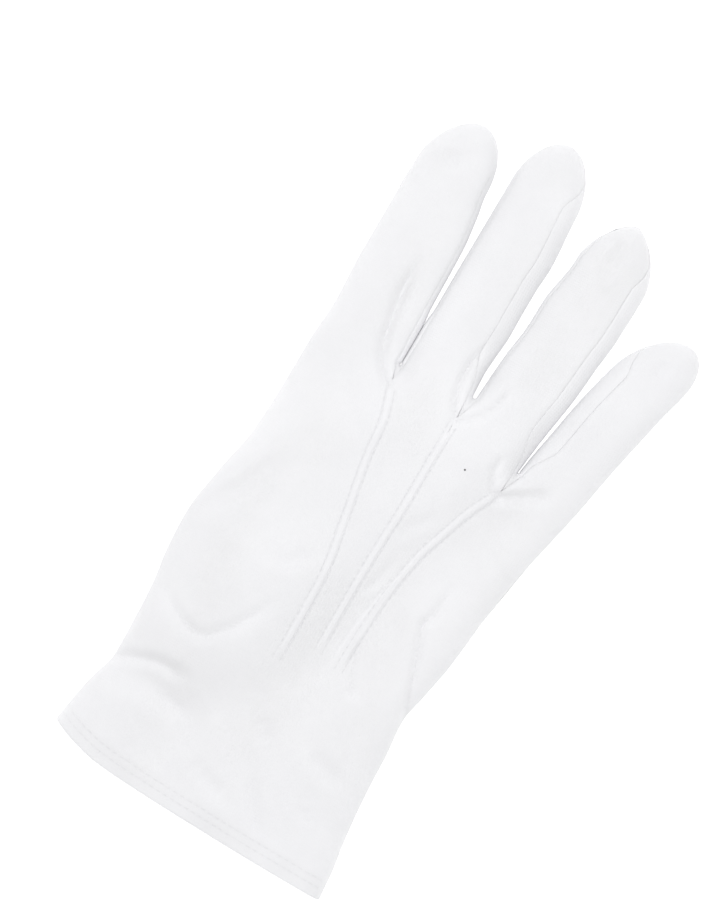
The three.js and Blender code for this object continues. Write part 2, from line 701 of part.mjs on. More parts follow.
// The gusset between two fingers: one strip that runs down the left one, round the slit's bottom and up the right one.
function gusset(i) {
  const sheet = new Sheet();
  const slack = -SEAM_GAP / 2;
  const stations = [];
  const shares = ROWS_UP_FINGER.filter((share) => share <= SEAM_END);
  for (const share of [...shares].reverse()) {
    stations.push([i, 1, rowY(i, 1, share)]);
  }
  const bottom = slitEnd(i);
  for (const k of [1, 2, 3]) {
    stations.push([k < 3 ? i : i + 1, k < 3 ? 1 : -1, CROTCHES[i].slit[1], bottom[k], k === 2 ? 1 : HALF_DOWN]);
  }
  for (const share of shares) {
    stations.push([i + 1, -1, rowY(i + 1, -1, share)]);
  }
  const across = [0, 0.3, 0.62, 0.85, 1];
  const rows = stations.map(([finger, side, y, round, joined]) => {
    const half = (over) => {
      const seam = round
        ? jointPlace(finger, side, over, slack, joined, JOINT_GAP)
        : seamPlace(finger, side, y, over, slack);
      const rounding = over > 0 ? ROUNDING_ABOVE : ROUNDING_BELOW;
      const edge = round || seam.edge;
      const dx = seam.place.x - edge.x;
      const dy = seam.place.y - edge.y;
      const span = Math.hypot(dx, dy);
      const { rise, fall } = body(edge.x, edge.y);
      const full = over > 0 ? rise : fall;
      const normal = round ? { nx: dx / span, ny: dy / span } : { nx: seam.edge.nx, ny: seam.edge.ny };
      const share = seam.share === null ? shareAt(seam.known.distance, rounding) : seam.share;
      let cloth = 0;
      while (cloth < 40 && reach(cloth, rounding, full).inward < seam.known.distance) {
        cloth += 0.1;
      }
      return across.map((t) => {
        if (t === 0) {
          return sheet.place(seam.place, over, seam.known, share);
        }
        if (t === 1 || span < 1e-6) {
          return sheet.place({ x: edge.x, y: edge.y }, over, { distance: 0, ...normal }, 0);
        }
        const spot = reach(cloth * (1 - t), rounding, full);
        const far = (spot.inward / Math.max(seam.known.distance, 1e-6)) * span;
        const place = { x: edge.x + (dx / span) * far, y: edge.y + (dy / span) * far };
        const nx = mix(normal.nx, seam.known.nx, 1 - t);
        const ny = mix(normal.ny, seam.known.ny, 1 - t);
        return sheet.place(place, over, { distance: spot.inward, nx, ny }, spot.share);
      });
    };
    return [...half(1), ...half(-1).reverse().slice(1)];
  });
  sheet.patch(rows, true);
  return sheet;
}

// The hem: a band turned in at the mouth, just inside the cuff.
function hem() {
  const sheet = new Sheet(WALL + SEAM_GAP, 2 * WALL + SEAM_GAP);
  const rise = HEM_DEPTH / (CUFF_LENGTH + FINGERS[0].base);
  const rings = [0.0004, rise].map((share) => {
    const half = (over) => {
      const columns = over > 0 ? BACK_COLUMNS : PALM_COLUMNS;
      const line = [];
      for (let quarter = 0; quarter < 4; quarter += 1) {
        const a = divider(quarter, share);
        const b = divider(quarter + 1, share);
        const width = Math.hypot(b.x - a.x, b.y - a.y);
        columns[quarter].forEach((plain, column) => {
          const t = over > 0 ? backShare(quarter, column, width) : plain;
          if (quarter > 0 && column === 0) {
            return;
          }
          const place = rowPlace(a, b, t, share);
          if (t === 0 || t === 1) {
            const first = quarter === 0 && t === 0;
            const last = quarter === 3 && t === 1;
            if (first || last) {
              line.push(sheet.place(place, over, { distance: 0, nx: first ? 1 : -1, ny: 0 }, 0));
              return;
            }
          }
          line.push(sheet.place(place, over));
        });
      }
      return line;
    };
    return [...half(1), ...half(-1).reverse().slice(1)];
  });
  sheet.patch(rings);
  return sheet;
}

// The thumb's pocket as a closed pillow, inset from its outermost skin.
function thumbPillow(inset) {
  const sheet = new Sheet();
  const count = 16;
  const across = [0, 0.025, 0.1, 0.24, 0.5, 0.76, 0.9, 0.975, 1];
  const rows = [];
  for (let i = 0; i <= count; i += 1) {
    const along = (THUMB_LENGTH * (1 - Math.cos((Math.PI * i) / count))) / 2;
    rows.push(across.map((t) => thumbPoint(along, mix(thumbEdge(-1, along), thumbEdge(1, along), t))));
  }
  for (const over of [1, -1]) {
    const skin = rows.map((row, r) => row.map((place, c) => {
      const border = c === 0 || c === across.length - 1 || r === 0 || r === count;
      const { distance, nx, ny } = nearest(THUMB_OUTLINE, place.x, place.y);
      const rounding = over > 0 ? THUMB_ROUNDING : ROUNDING_BELOW;
      const side = c < across.length / 2 ? 1 : -1;
      let [dx, dy] = [nx, ny];
      if (border) {
        const next = rows[Math.min(r + 1, count)][c];
        const last = rows[Math.max(r - 1, 0)][c];
        const long = next.distanceTo(last) || 1;
        [dx, dy] = [(side * (next.y - last.y)) / long, (-side * (next.x - last.x)) / long];
        if (r === 0 || r === count) {
          [dx, dy] = [Math.sin(THUMB_LEAN), Math.cos(THUMB_LEAN)].map((v) => (r === 0 ? v : -v));
        }
      }
      const far = border ? 0 : distance;
      const shift = inset * Math.max(0, 1 - far / rounding);
      const half = thumbHeight(place.x, place.y) / 2;
      const z = half + over * (half - inset) * shareAt(far, rounding);
      const point = new THREE.Vector3(place.x + dx * shift, place.y + dy * shift, z);
      return sheet.add([point]);
    }));
    sheet.patch(skin, over < 0);
  }
  const made = new THREE.BufferGeometry();
  made.setAttribute('position', new THREE.Float32BufferAttribute(sheet.points.flatMap(([p]) => p.toArray()), 3));
  made.setIndex(sheet.faces.flat());
  return made;
}

// The oval of the thumb's seam as an upright prism from one height to another.
function ovalPrism(low, high) {
  const centre = thumbPoint(OVAL_ALONG, OVAL_ACROSS);
  const shape = new THREE.Shape();
  shape.absellipse(centre.x, centre.y, OVAL_WIDTH / 2, OVAL_LENGTH / 2, 0, Math.PI * 2, false, -THUMB_LEAN);
  const prism = new THREE.ExtrudeGeometry(shape, { depth: high - low, bevelEnabled: false, curveSegments: 40 });
  prism.translate(0, 0, low);
  return prism;
}

function toSolid(geometry) {
  const source = geometry.index ? geometry.toNonIndexed() : geometry;
  const from = source.getAttribute('position');
  const seen = new Map();
  const points = [];
  const triVerts = [];
  for (let i = 0; i < from.count; i += 1) {
    const at = [from.getX(i), from.getY(i), from.getZ(i)];
    const key = at.map((v) => Math.round(v * 1000)).join(' ');
    if (!seen.has(key)) {
      seen.set(key, points.length / 3);
      points.push(...at);
    }
    triVerts.push(seen.get(key));
  }
  const mesh = new wasm.Mesh({
    numProp: 3,
    vertProperties: new Float32Array(points),
    triVerts: new Uint32Array(triVerts),
  });
  return new wasm.Manifold(mesh);
}

function toGeometry(solid) {
  const mesh = solid.getMesh();
  const made = new THREE.BufferGeometry();
  made.setAttribute('position', new THREE.BufferAttribute(new Float32Array(mesh.vertProperties), 3));
  made.setIndex(new THREE.BufferAttribute(new Uint32Array(mesh.triVerts), 1));
  return made;
}

function piece(name, geometry) {
  geometry.computeVertexNormals();
  const mesh = new THREE.Mesh(geometry, new THREE.MeshStandardMaterial(COTTON));
  mesh.name = name;
  return mesh;
}

// The oval is cut through the palm and the thumb's upper wall, from below them to a height that clears them both.
const OVAL_TOP = HAND_HEIGHT + SWELL_HEIGHT;

const backPanel = panel(1).geometry();
const palmPanel = toGeometry(toSolid(panel(-1).geometry()).subtract(toSolid(ovalPrism(-WALL, OVAL_TOP))));
const pocket = toSolid(thumbPillow(0)).subtract(toSolid(thumbPillow(WALL)));
const thumb = toGeometry(pocket.subtract(toSolid(ovalPrism(THUMB_HEIGHT / 2, OVAL_TOP))));

const glove = new THREE.Group();
glove.add(piece('back_panel', backPanel));
glove.add(piece('palm_panel', palmPanel));
CROTCHES.forEach((crotch, i) => {
  glove.add(piece(`fourchette_${crotch.name}`, gusset(i).geometry()));
});
glove.add(piece('thumb', thumb));
glove.add(piece('cuff_hem', hem().geometry()));

// The glove's origin: the middle of its footprint, on the ground.
const extent = new THREE.Box3().setFromObject(glove);
const middle = extent.getCenter(new THREE.Vector3());
glove.position.set(-middle.x, -middle.y, -extent.min.z);
const parade = new THREE.Group();
parade.add(glove);

export default parade;
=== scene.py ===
import math

import bpy
import numpy as np
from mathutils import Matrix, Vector, kdtree, noise


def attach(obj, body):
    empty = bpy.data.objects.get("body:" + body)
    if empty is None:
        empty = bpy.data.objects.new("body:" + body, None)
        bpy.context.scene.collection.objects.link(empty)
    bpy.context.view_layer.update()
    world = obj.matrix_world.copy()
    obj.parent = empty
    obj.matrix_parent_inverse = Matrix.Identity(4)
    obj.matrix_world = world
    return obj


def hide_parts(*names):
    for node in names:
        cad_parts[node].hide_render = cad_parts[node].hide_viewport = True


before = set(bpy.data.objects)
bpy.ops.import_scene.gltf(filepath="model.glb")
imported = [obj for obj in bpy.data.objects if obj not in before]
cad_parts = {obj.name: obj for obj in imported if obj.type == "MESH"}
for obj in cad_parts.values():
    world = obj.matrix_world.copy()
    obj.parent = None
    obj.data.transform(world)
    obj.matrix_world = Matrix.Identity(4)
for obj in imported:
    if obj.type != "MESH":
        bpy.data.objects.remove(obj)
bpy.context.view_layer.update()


# ---- Camera, light and table ----
# The glove is seen straight from above, its fingers up to the right, on a pale light table under a broad soft light.
# The frame is 295 mm high at the height of the glove's outline.
camera_data = bpy.data.cameras.new("camera")
camera_data.lens = 250
camera_data.sensor_width = 36
camera = bpy.data.objects.new("camera", camera_data)
camera.location = (-0.0234, 0.0054, 2.0552)
camera.rotation_euler = (0, 0, math.radians(30))
bpy.context.scene.collection.objects.link(camera)
bpy.context.scene.camera = camera
bpy.context.scene.view_settings.view_transform = "Standard"


def colour(code):
    """An sRGB hex value as linear red, green, blue and alpha."""
    parts = [int(code[i:i + 2], 16) / 255 for i in (1, 3, 5)]
    linear = [c / 12.92 if c <= 0.04045 else ((c + 0.055) / 1.055) ** 2.4 for c in parts]
    return (*linear, 1)


def add(tree, kind, settings=None, inputs=None):
    """Adds one node. An input that is given a socket is linked to it, and any other value is set on the input."""
    node = tree.nodes.new(kind)
    for name, value in (settings or {}).items():
        setattr(node, name, value)
    for name, value in (inputs or {}).items():
        if isinstance(value, bpy.types.NodeSocket):
            tree.links.new(value, node.inputs[name])
        else:
            node.inputs[name].default_value = value
    return node


def reckon(tree, operation, *values):
    """Adds one math node and gives its result."""
    return add(tree, "ShaderNodeMath", {"operation": operation}, dict(enumerate(values))).outputs[0]


def new_object(name, mesh):
    made = bpy.data.objects.new(name, mesh)
    bpy.context.scene.collection.objects.link(made)
    return made


table_mesh = bpy.data.meshes.new("table")
table_mesh.from_pydata([(-2, -2, -0.0003), (2, -2, -0.0003), (2, 2, -0.0003), (-2, 2, -0.0003)], [], [(0, 1, 2, 3)])
table = new_object("table", table_mesh)
acrylic = bpy.data.materials.new("lit white acrylic")
acrylic.use_nodes = True
surface = acrylic.node_tree.nodes["Principled BSDF"]
surface.inputs["Base Color"].default_value = colour("#f4f4f4")
surface.inputs["Roughness"].default_value = 0.9
surface.inputs["Emission Color"].default_value = colour("#ffffff")
surface.inputs["Emission Strength"].default_value = 0.50
table.data.materials.append(acrylic)

sky = bpy.data.worlds.new("studio")
sky.use_nodes = True
sky.node_tree.nodes["Background"].inputs["Color"].default_value = colour("#ffffff")
sky.node_tree.nodes["Background"].inputs["Strength"].default_value = 0.60
bpy.context.scene.world = sky
for name, place, size, power in (("key", (-0.75, 0.30, 1.3), 0.8, 1.7), ("overhead", (-0.03, 0.14, 0.9), 0.7, 4.5)):
    lamp_data = bpy.data.lights.new(name, "AREA")
    lamp_data.size = size
    lamp_data.energy = power
    lamp = bpy.data.objects.new(name, lamp_data)
    lamp.location = place
    lamp.rotation_euler = (-Vector(place)).to_track_quat("-Z", "Y").to_euler()
    bpy.context.scene.collection.objects.link(lamp)


# ---- Back panel ----
# The back of the glove with its four finger backs, one piece of fine white cotton interlock, cut and sewn to the palm
# along its sides and to the fourchettes between the fingers. Three raised points are tucks sewn in this cloth.
# Sizes in millimetres, from the middle of the wrist; shares are of the length or width that each table names.
HAND_LENGTH = 108
PALM_WIDTH = 104
WALL = 0.9
SEAM_GAP = 0.4
CUFF_LENGTH = 51
HAND_HEIGHT = 11.5
MOUTH_HEIGHT = 12.4
MIDDLE_SHARE = 0.42
ROUNDING_ABOVE = 9
ROUNDING_BELOW = 7
POWER = 2.2
THUMB_LENGTH = 117
THUMB_WIDTH = 44
THUMB_HEIGHT = 7.4
THUMB_LEAN = math.radians(21.5)
THUMB_START = (-25.6, 1.6)
SWELL_BELOW = 12
SWELL_ABOVE = 26
SWELL_HEIGHT = 5.6
SEAM_START = 4.4
SEAM_RISE = 14
SEAM_END = 0.95
# from the middle of the wrist to the part's own origin, then the grid's step, and how far below the fingertips the rows
# crowd together
ROW_FRAME = np.array([-10.8811, -75.6187, 0.0])
STEP = 0.85
TIP_ROWS = 12

# up (share of HAND_LENGTH), left and right (shares of PALM_WIDTH)
SIDES = [
    (-0.468, -0.512, 0.503), (-0.401, -0.500, 0.497), (-0.259, -0.474, 0.474), (-0.130, -0.442, 0.463),
    (0.000, -0.443, 0.460), (0.111, -0.449, 0.451), (0.222, -0.465, 0.471), (0.333, -0.470, 0.493),
    (0.500, -0.447, 0.514), (0.667, -0.416, 0.543), (0.833, -0.406, 0.577), (1.000, -0.406, 0.613),
]
# The mouth of the cuff: across (share of PALM_WIDTH), down (share of CUFF_LENGTH).
MOUTH = [
    (-0.50, 0.855), (-0.42, 0.915), (-0.32, 0.963), (-0.20, 0.983), (0.00, 1.000), (0.25, 1.014), (0.50, 1.020),
]
# rows: up (share of length), left and right (shares of width); over and under: cloth from the outline to each seam
FINGERS = [
    dict(name="index", x=-27.4, base=108, length=87, width=28.6, cap=19, power=1.85, over=(0, 4.7), under=(0, 14.4),
         rows=[(0.000, -0.517, 0.510), (0.149, -0.483, 0.517), (0.368, -0.510, 0.507), (0.552, -0.510, 0.497),
               (0.690, -0.507, 0.451), (0.782, -0.503, 0.406), (1.000, -0.451, 0.451)]),
    dict(name="middle", x=0.5, base=108, length=95.4, width=26, cap=19.4, power=1.95, over=(3.5, 9.2),
         under=(3.6, 11.8),
         rows=[(0.000, -0.473, 0.515), (0.168, -0.473, 0.488), (0.335, -0.465, 0.527), (0.503, -0.462, 0.527),
               (0.597, -0.458, 0.550), (0.755, -0.450, 0.515), (1.000, -0.458, 0.465)]),
    dict(name="ring", x=31, base=100, length=91.5, width=27.5, cap=18.5, power=1.55, over=(3.5, 8.5),
         under=(3.6, 10.4),
         rows=[(0.000, -0.622, 0.269), (0.186, -0.591, 0.349), (0.350, -0.553, 0.436), (0.481, -0.498, 0.476),
               (0.612, -0.480, 0.527), (0.787, -0.393, 0.545), (1.000, -0.400, 0.531)]),
    dict(name="little", x=57, base=92, length=73.7, width=25, cap=17.7, power=2, over=(9, 0), under=(4.2, 0),
         rows=[(0.000, -0.740, 0.140), (0.136, -0.712, 0.224), (0.380, -0.588, 0.368), (0.543, -0.500, 0.472),
               (0.760, -0.340, 0.624), (1.000, -0.112, 0.864)]),
]
CROTCHES = [
    dict(name="index_middle", slit=(-12.3, 113.6), joint=(-12.1, 107.8), below=(-12.2, 106.5), touching=22),
    dict(name="middle_ring", slit=(14.2, 116.4), joint=(12.3, 107.6), below=(14.1, 108.5), touching=0),
    dict(name="ring_little", slit=(38.9, 102.2), joint=(36.8, 93.8), below=(38.4, 94), touching=0),
]
# The raised points' courses: up (share of HAND_LENGTH), then each point's place across (share of PALM_WIDTH).
POINTS = [
    (-0.46, -0.100, 0.105, 0.245), (-0.14, -0.022, 0.105, 0.203), (0.17, 0.007, 0.107, 0.193),
    (0.36, 0.003, 0.106, 0.201), (0.56, -0.028, 0.108, 0.230), (0.66, -0.047, 0.113, 0.262),
    (0.76, -0.065, 0.114, 0.299), (0.87, -0.077, 0.115, 0.354), (1.00, -0.1165, 0.118, 0.43),
]
POINT_LOW_ENDS = (8, 16, 14)
# along (share of THUMB_LENGTH), left and right (shares of THUMB_WIDTH), height (share of THUMB_HEIGHT)
THUMB_ROWS = [
    (0.00, -0.54, 0.14, 1.0), (0.13, -0.66, 0.14, 1.0), (0.26, -0.81, 0.15, 1.0), (0.38, -0.77, 0.14, 1.0),
    (0.51, -0.65, 0.16, 0.98), (0.64, -0.50, 0.19, 0.93), (0.77, -0.34, 0.22, 0.87), (0.89, -0.24, 0.22, 0.82),
    (1.00, -0.19, 0.19, 0.80),
]
# The folds of the back: a line of points, half the width, the depth, how sharp the bottom is from 0 to 1, and the
# shares of the depth at the line's first and last points.
FOLDS = [
    # the crease at the wrist, deepest where it meets the outline
    ([(-49, -16.5), (-45.2, -15.1), (-37.2, -11.4), (-30.3, -9.9), (-25.0, -10.7), (-18, -9)], 4.2, 1.6, 0.3, 1.0, 0.0),
    ([(-40, -19), (-30, -17), (-16, -20), (-4, -30)], 9.0, 1.3, 0.0, 0.6, 0.2),
    # the creases up the little finger's side of the hand
    ([(38.2, 59), (38.4, 46.7), (36.0, 43.3), (39.5, 34.8), (44.0, 21.9), (46.6, 14)], 3.0, 2.3, 0.9, 0.2, 1.0),
    ([(27.6, 46), (33, 37), (36.5, 27)], 4.0, 0.5, 0.2, 0.0, 0.0),
    ([(21.7, 27), (22.6, 21.5), (25.5, 16), (29, 9)], 3.2, 1.3, 0.8, 0.6, 0.0),
    # the outline of the folded thumb's root below
    ([(-42, 12), (-35.3, 7.0), (-25.7, 2.9), (-17.9, 10.3), (-13.1, 18.8), (-8, 30)], 4.2, 1.7, 0.8, 0.3, 0.0),
    ([(-46, 40), (-39.2, 50), (-34.9, 58.5), (-28, 72)], 5.0, 1.4, 0.0, 0.3, 0.0),
    ([(-19, 40), (-12, 37.5), (-6, 48)], 4.5, 0.7, 0.0, 0.3, 0.0),
    # the roots of the fingers
    ([(-24.6, 150), (-24.1, 136.5), (-22.5, 126.4), (-20.6, 115.7), (-16.6, 108.7), (-12.6, 106)],
     4.8, 3.0, 0.9, 0.0, 0.8),
    ([(12.3, 102), (11.9, 106.6), (8.2, 113.6), (7.0, 119.8), (7.4, 127.7), (9, 136)], 3.2, 2.5, 0.9, 0.5, 0.0),
    ([(13.2, 106.6), (18.9, 112.3), (22.0, 118.5), (24, 127)], 3.0, 1.8, 0.9, 1.0, 0.0),
    ([(36.5, 91), (32.7, 94.4), (31.1, 99.5), (31.8, 106)], 2.6, 1.3, 0.2, 1.0, 0.0),
    ([(38.0, 92.0), (41.8, 94.0), (46, 97.0), (54, 101)], 3.8, 1.5, 0.1, 1.0, 0.0),
    # shallow hollows on the back of the hand
    ([(14.5, 66), (24, 78)], 4.0, 0.55, 0.0, 0.5, 0.2),
    ([(17.8, 60), (17.2, 51), (13.5, 41)], 3.0, 0.5, 0.2, 0.3, 0.0),
    ([(-26, 101), (-24, 95)], 6.0, 0.4, 0.0, 0.5, 0.5),
    ([(-6, 116), (-1, 118)], 4.0, 0.4, 0.0, 0.5, 0.5),
    # the dimples behind the fingertips
    ([(31, 175), (31, 186)], 5.0, 1.3, 0.2, 0.3, 0.3),
    ([(-35, 178), (-28, 182)], 5.0, 1.2, 0.1, 0.5, 0.5),
    ([(61, 151), (63, 158)], 4.6, 0.9, 0.2, 0.3, 0.3),
    # the dents of the cuff
    ([(-4, -34), (1, -36.4), (8, -38.5)], 5.0, 1.0, 0.0, 0.5, 0.2),
    ([(12.5, -26), (17.5, -35.5), (25.5, -45)], 4.6, 1.0, 0.1, 0.2, 0.1),
    ([(5, -9), (12, -16)], 5.5, 0.8, 0.0, 0.4, 0.4),
    ([(25, -10), (31.5, -14.4), (41, -15)], 5.5, 0.9, 0.0, 0.4, 0.3),
    ([(-26, -19.5), (-17, -21.5)], 4.5, 0.8, 0.1, 0.4, 0.4),
    ([(33, -27), (36, -33)], 6.0, 0.6, 0.0, 0.4, 0.4),
]


def mix(a, b, t):
    return a + (b - a) * t


def ease(value, low, high):
    t = np.clip((value - low) / (high - low), 0, 1)
    return t * t * (3 - 2 * t)


def read_table(rows, column, place):
    """The column of a table at places between its rows, as a smooth curve that never overshoots."""
    place = np.asarray(place, float)
    key = np.array([row[0] for row in rows])
    value = np.array([row[column] for row in rows])
    slope = np.diff(value) / np.diff(key)
    before, after = slope[:-1], slope[1:]
    same = before * after > 0
    turn = np.where(same, 2 * before * after / np.where(same, before + after, 1), 0)
    turn = np.concatenate([slope[:1], turn, slope[-1:]])
    i = np.clip(np.searchsorted(key, place) - 1, 0, len(rows) - 2)
    step = key[i + 1] - key[i]
    t = (place - key[i]) / step
    c = np.clip(t, 0, 1)
    inside = (
        (2 * c**3 - 3 * c**2 + 1) * value[i] + (c**3 - 2 * c**2 + c) * step * turn[i]
        + (3 * c**2 - 2 * c**3) * value[i + 1] + (c**3 - c**2) * step * turn[i + 1]
    )
    return inside + np.minimum(t, 0) * turn[i] * step + np.maximum(t - 1, 0) * turn[i + 1] * step


def closing(share, power):
    """How wide a rounded end still is at a share of the way to its tip."""
    return (1 - np.clip(share, 0, 1) ** power) ** (1 / power)


def rounding_of(over):
    """How far in from the outline the rounded edge goes, above the side line (over 1) or below it (over -1)."""
    return ROUNDING_ABOVE if over > 0 else ROUNDING_BELOW


def crotch_beside(i, side):
    """The crotch on the left (side -1) or the right (side 1) of a finger, or None where the side is free."""
    crotch = i if side > 0 else i - 1
    return CROTCHES[crotch] if 0 <= crotch < 3 else None


def finger_edge(finger, side, y):
    up = (y - finger["base"]) / finger["length"]
    left = finger["x"] + finger["width"] * read_table(finger["rows"], 1, up)
    right = finger["x"] + finger["width"] * read_table(finger["rows"], 2, up)
    tip = finger["base"] + finger["length"]
    close = closing((y - tip + finger["cap"]) / finger["cap"], finger["power"])
    return (left + right) / 2 + side * close * (right - left) / 2


def side_edge(side, y):
    finger = FINGERS[0] if side < 0 else FINGERS[3]
    hand = PALM_WIDTH * read_table(SIDES, 1 if side < 0 else 2, y / HAND_LENGTH)
    return np.where(y > finger["base"], finger_edge(finger, side, y), hand)


def slit_end(i, t):
    """The small round bottom of a slit, from the finger on its left at 0 to the finger on its right at 1."""
    y = CROTCHES[i]["slit"][1]
    left, right = finger_edge(FINGERS[i], 1, y), finger_edge(FINGERS[i + 1], -1, y)
    radius = (right - left) / 2
    return left + radius - radius * np.cos(np.pi * t), y - radius * np.sin(np.pi * t)


def glove_outline():
    low = -CUFF_LENGTH - 20
    crowd = np.sin(np.linspace(0, np.pi / 2, 260))
    y = np.arange(low, FINGERS[0]["base"], 0.5)
    runs = [(side_edge(-1, y), y)]
    for i, finger in enumerate(FINGERS):
        tip = finger["base"] + finger["length"]
        up = mix(finger["base"] if i == 0 else CROTCHES[i - 1]["slit"][1], tip, crowd)
        down = mix(finger["base"] if i == 3 else CROTCHES[i]["slit"][1], tip, crowd)[::-1][1:]
        runs += [(finger_edge(finger, -1, up), up), (finger_edge(finger, 1, down), down)]
        if i < 3:
            runs.append(slit_end(i, np.linspace(0, 1, 9)[1:-1]))
    y = np.arange(FINGERS[3]["base"], low, -0.5)
    runs.append((side_edge(1, y), y))
    return np.concatenate([np.stack(run, axis=1) for run in runs])


class Line:
    """A line of points in the plan or in space, asked for its nearest place to each of many points."""

    def __init__(self, *runs):
        runs = [np.pad(run, ((0, 0), (0, 3 - run.shape[1]))) for run in runs]
        self.points = np.concatenate(runs)
        steps = [np.concatenate([[0], np.linalg.norm(np.diff(run, axis=0), axis=1)]) for run in runs]
        self.along = np.concatenate([np.cumsum(step) for step in steps])
        ends = np.cumsum([len(run) for run in runs])
        self.last = np.zeros(len(self.points), bool)
        self.last[ends - 1] = True
        self.tree = kdtree.KDTree(len(self.points))
        for i, point in enumerate(self.points):
            self.tree.insert(point, i)
        self.tree.balance()

    def nearest(self, places):
        """The distance, the unit direction from the line to the point, and the length along the line."""
        places = np.pad(places, ((0, 0), (0, 3 - places.shape[1])))
        found = np.array([self.tree.find(place)[1] for place in places])
        best = np.full(len(places), np.inf)
        away = np.zeros((len(places), 3))
        along = np.zeros(len(places))
        for first in (found - 1, found):
            first = np.clip(first, 0, len(self.points) - 2)
            a, b = self.points[first], self.points[first + 1]
            run = b - a
            size = np.maximum((run**2).sum(1), 1e-12)
            t = np.clip(((places - a) * run).sum(1) / size, 0, 1)
            t = np.where(self.last[first], np.where(first == found, 0, 1), t)
            offset = places - a - run * t[:, None]
            far = np.linalg.norm(offset, axis=1)
            better = far < best
            best[better] = far[better]
            away[better] = offset[better]
            along[better] = mix(self.along[first], self.along[first + 1], np.where(self.last[first], 0, t))[better]
        return best, away / np.maximum(best, 1e-9)[:, None], along


def thumb_place(x, y):
    """Along and across the thumb's leaf."""
    dx, dy = x - THUMB_START[0], y - THUMB_START[1]
    return dx * math.sin(THUMB_LEAN) + dy * math.cos(THUMB_LEAN), dx * math.cos(THUMB_LEAN) - dy * math.sin(THUMB_LEAN)


def thumb_point(along, across):
    x = THUMB_START[0] + along * math.sin(THUMB_LEAN) + across * math.cos(THUMB_LEAN)
    return x, THUMB_START[1] + along * math.cos(THUMB_LEAN) - across * math.sin(THUMB_LEAN)


def thumb_edge(side, along):
    left = THUMB_WIDTH * read_table(THUMB_ROWS, 1, along / THUMB_LENGTH)
    right = THUMB_WIDTH * read_table(THUMB_ROWS, 2, along / THUMB_LENGTH)
    close = closing(1 - along / 15, 2) * closing(1 - (THUMB_LENGTH - along) / 13, 2)
    return (left + right) / 2 + side * close * (right - left) / 2


def thumb_height(x, y):
    return THUMB_HEIGHT * read_table(THUMB_ROWS, 3, np.clip(thumb_place(x, y)[0] / THUMB_LENGTH, 0, 1))


def thumb_outline():
    along = THUMB_LENGTH * (1 - np.cos(np.linspace(0, np.pi, 240))) / 2
    sides = [np.stack(thumb_point(along, thumb_edge(side, along)), axis=1) for side in (-1, 1)]
    return np.concatenate([sides[0], sides[1][::-1]])


OUTLINE = Line(glove_outline())
THUMB_OUTLINE = Line(thumb_outline())


def thumb_depth(x, y):
    """How far inside the thumb's leaf a point lies, less than 0 outside it."""
    along, across = thumb_place(x, y)
    held = np.clip(along, 0, THUMB_LENGTH)
    inside = (along == held) & (across > thumb_edge(-1, held)) & (across < thumb_edge(1, held))
    distance = THUMB_OUTLINE.nearest(np.stack([x, y], axis=1))[0]
    return np.where(inside, distance, -distance)


def rounded(points, times=2):
    """The same line with its corners cut to curves."""
    points = np.array(points, float)
    for _ in range(times):
        cut = np.stack([mix(points[:-1], points[1:], 0.25), mix(points[:-1], points[1:], 0.75)], axis=1)
        points = np.concatenate([points[:1], cut.reshape(-1, 2), points[-1:]])
    return points


def stroke(points, x, y):
    """The distance to a line of points, and how far along it the nearest place is, from 0 to 1."""
    lengths = np.linalg.norm(np.diff(points, axis=0), axis=1)
    best, share = np.full(x.shape, np.inf), np.zeros(x.shape)
    done = 0
    for a, run, length in zip(points[:-1], np.diff(points, axis=0), lengths):
        t = np.clip(((x - a[0]) * run[0] + (y - a[1]) * run[1]) / length**2, 0, 1)
        far = np.hypot(x - a[0] - t * run[0], y - a[1] - t * run[1])
        better = far < best
        best = np.where(better, far, best)
        share = np.where(better, (done + t * length) / lengths.sum(), share)
        done += length
    return best, share


def fold_depth(x, y):
    deep = np.zeros(x.shape)
    for points, half, depth, sharp, first, last in FOLDS:
        points = rounded(points)
        low, high = points.min(axis=0) - 2 * half, points.max(axis=0) + 2 * half
        near = (x > low[0]) & (x < high[0]) & (y > low[1]) & (y < high[1])
        far, share = stroke(points, x[near], y[near])
        fade = mix(first, 1, ease(share, 0, 0.3)) * mix(last, 1, ease(1 - share, 0, 0.3))
        soft = 1 - ease(far, 0, half)
        crease = np.exp(-np.sqrt(far**2 + 0.16) / (0.3 * half)) * 1.3 * (1 - ease(far, half, 2 * half))
        deep[near] += depth * fade * mix(soft, crease, sharp)
    return deep


def mouth_y(x):
    return -CUFF_LENGTH * read_table(MOUTH, 1, np.asarray(x) / PALM_WIDTH)


def body(x, y):
    """The height of the glove's side line, and how far its skins rise and fall from there."""
    depth = thumb_depth(x, y)
    lift = 1 - ease(-depth, 3.5, 3.5 + SWELL_BELOW)
    swell = ease(depth, -SWELL_ABOVE, 2)
    opened = 1 - ease(y - mouth_y(x), 0, 32)
    floor = lift * (thumb_height(x, y) + SEAM_GAP)
    roof = mix(HAND_HEIGHT, MOUTH_HEIGHT, opened) + SWELL_HEIGHT * swell - fold_depth(x, y)
    level = mix(floor, roof, MIDDLE_SHARE)
    return level, roof - level, level - floor


TURN = np.linspace(0, np.pi / 2, 49)
QUARTER_IN = 1 - np.cos(TURN) ** (2 / POWER)
QUARTER_UP = np.sin(TURN) ** (2 / POWER)


def quarter_lengths(rounding, height):
    """The length of cloth from the side line to each place of the rounded quarter above or below it."""
    steps = np.hypot(rounding * np.diff(QUARTER_IN), height[..., None] * np.diff(QUARTER_UP))
    return np.concatenate([np.zeros((*height.shape, 1)), np.cumsum(steps, axis=-1)], axis=-1)


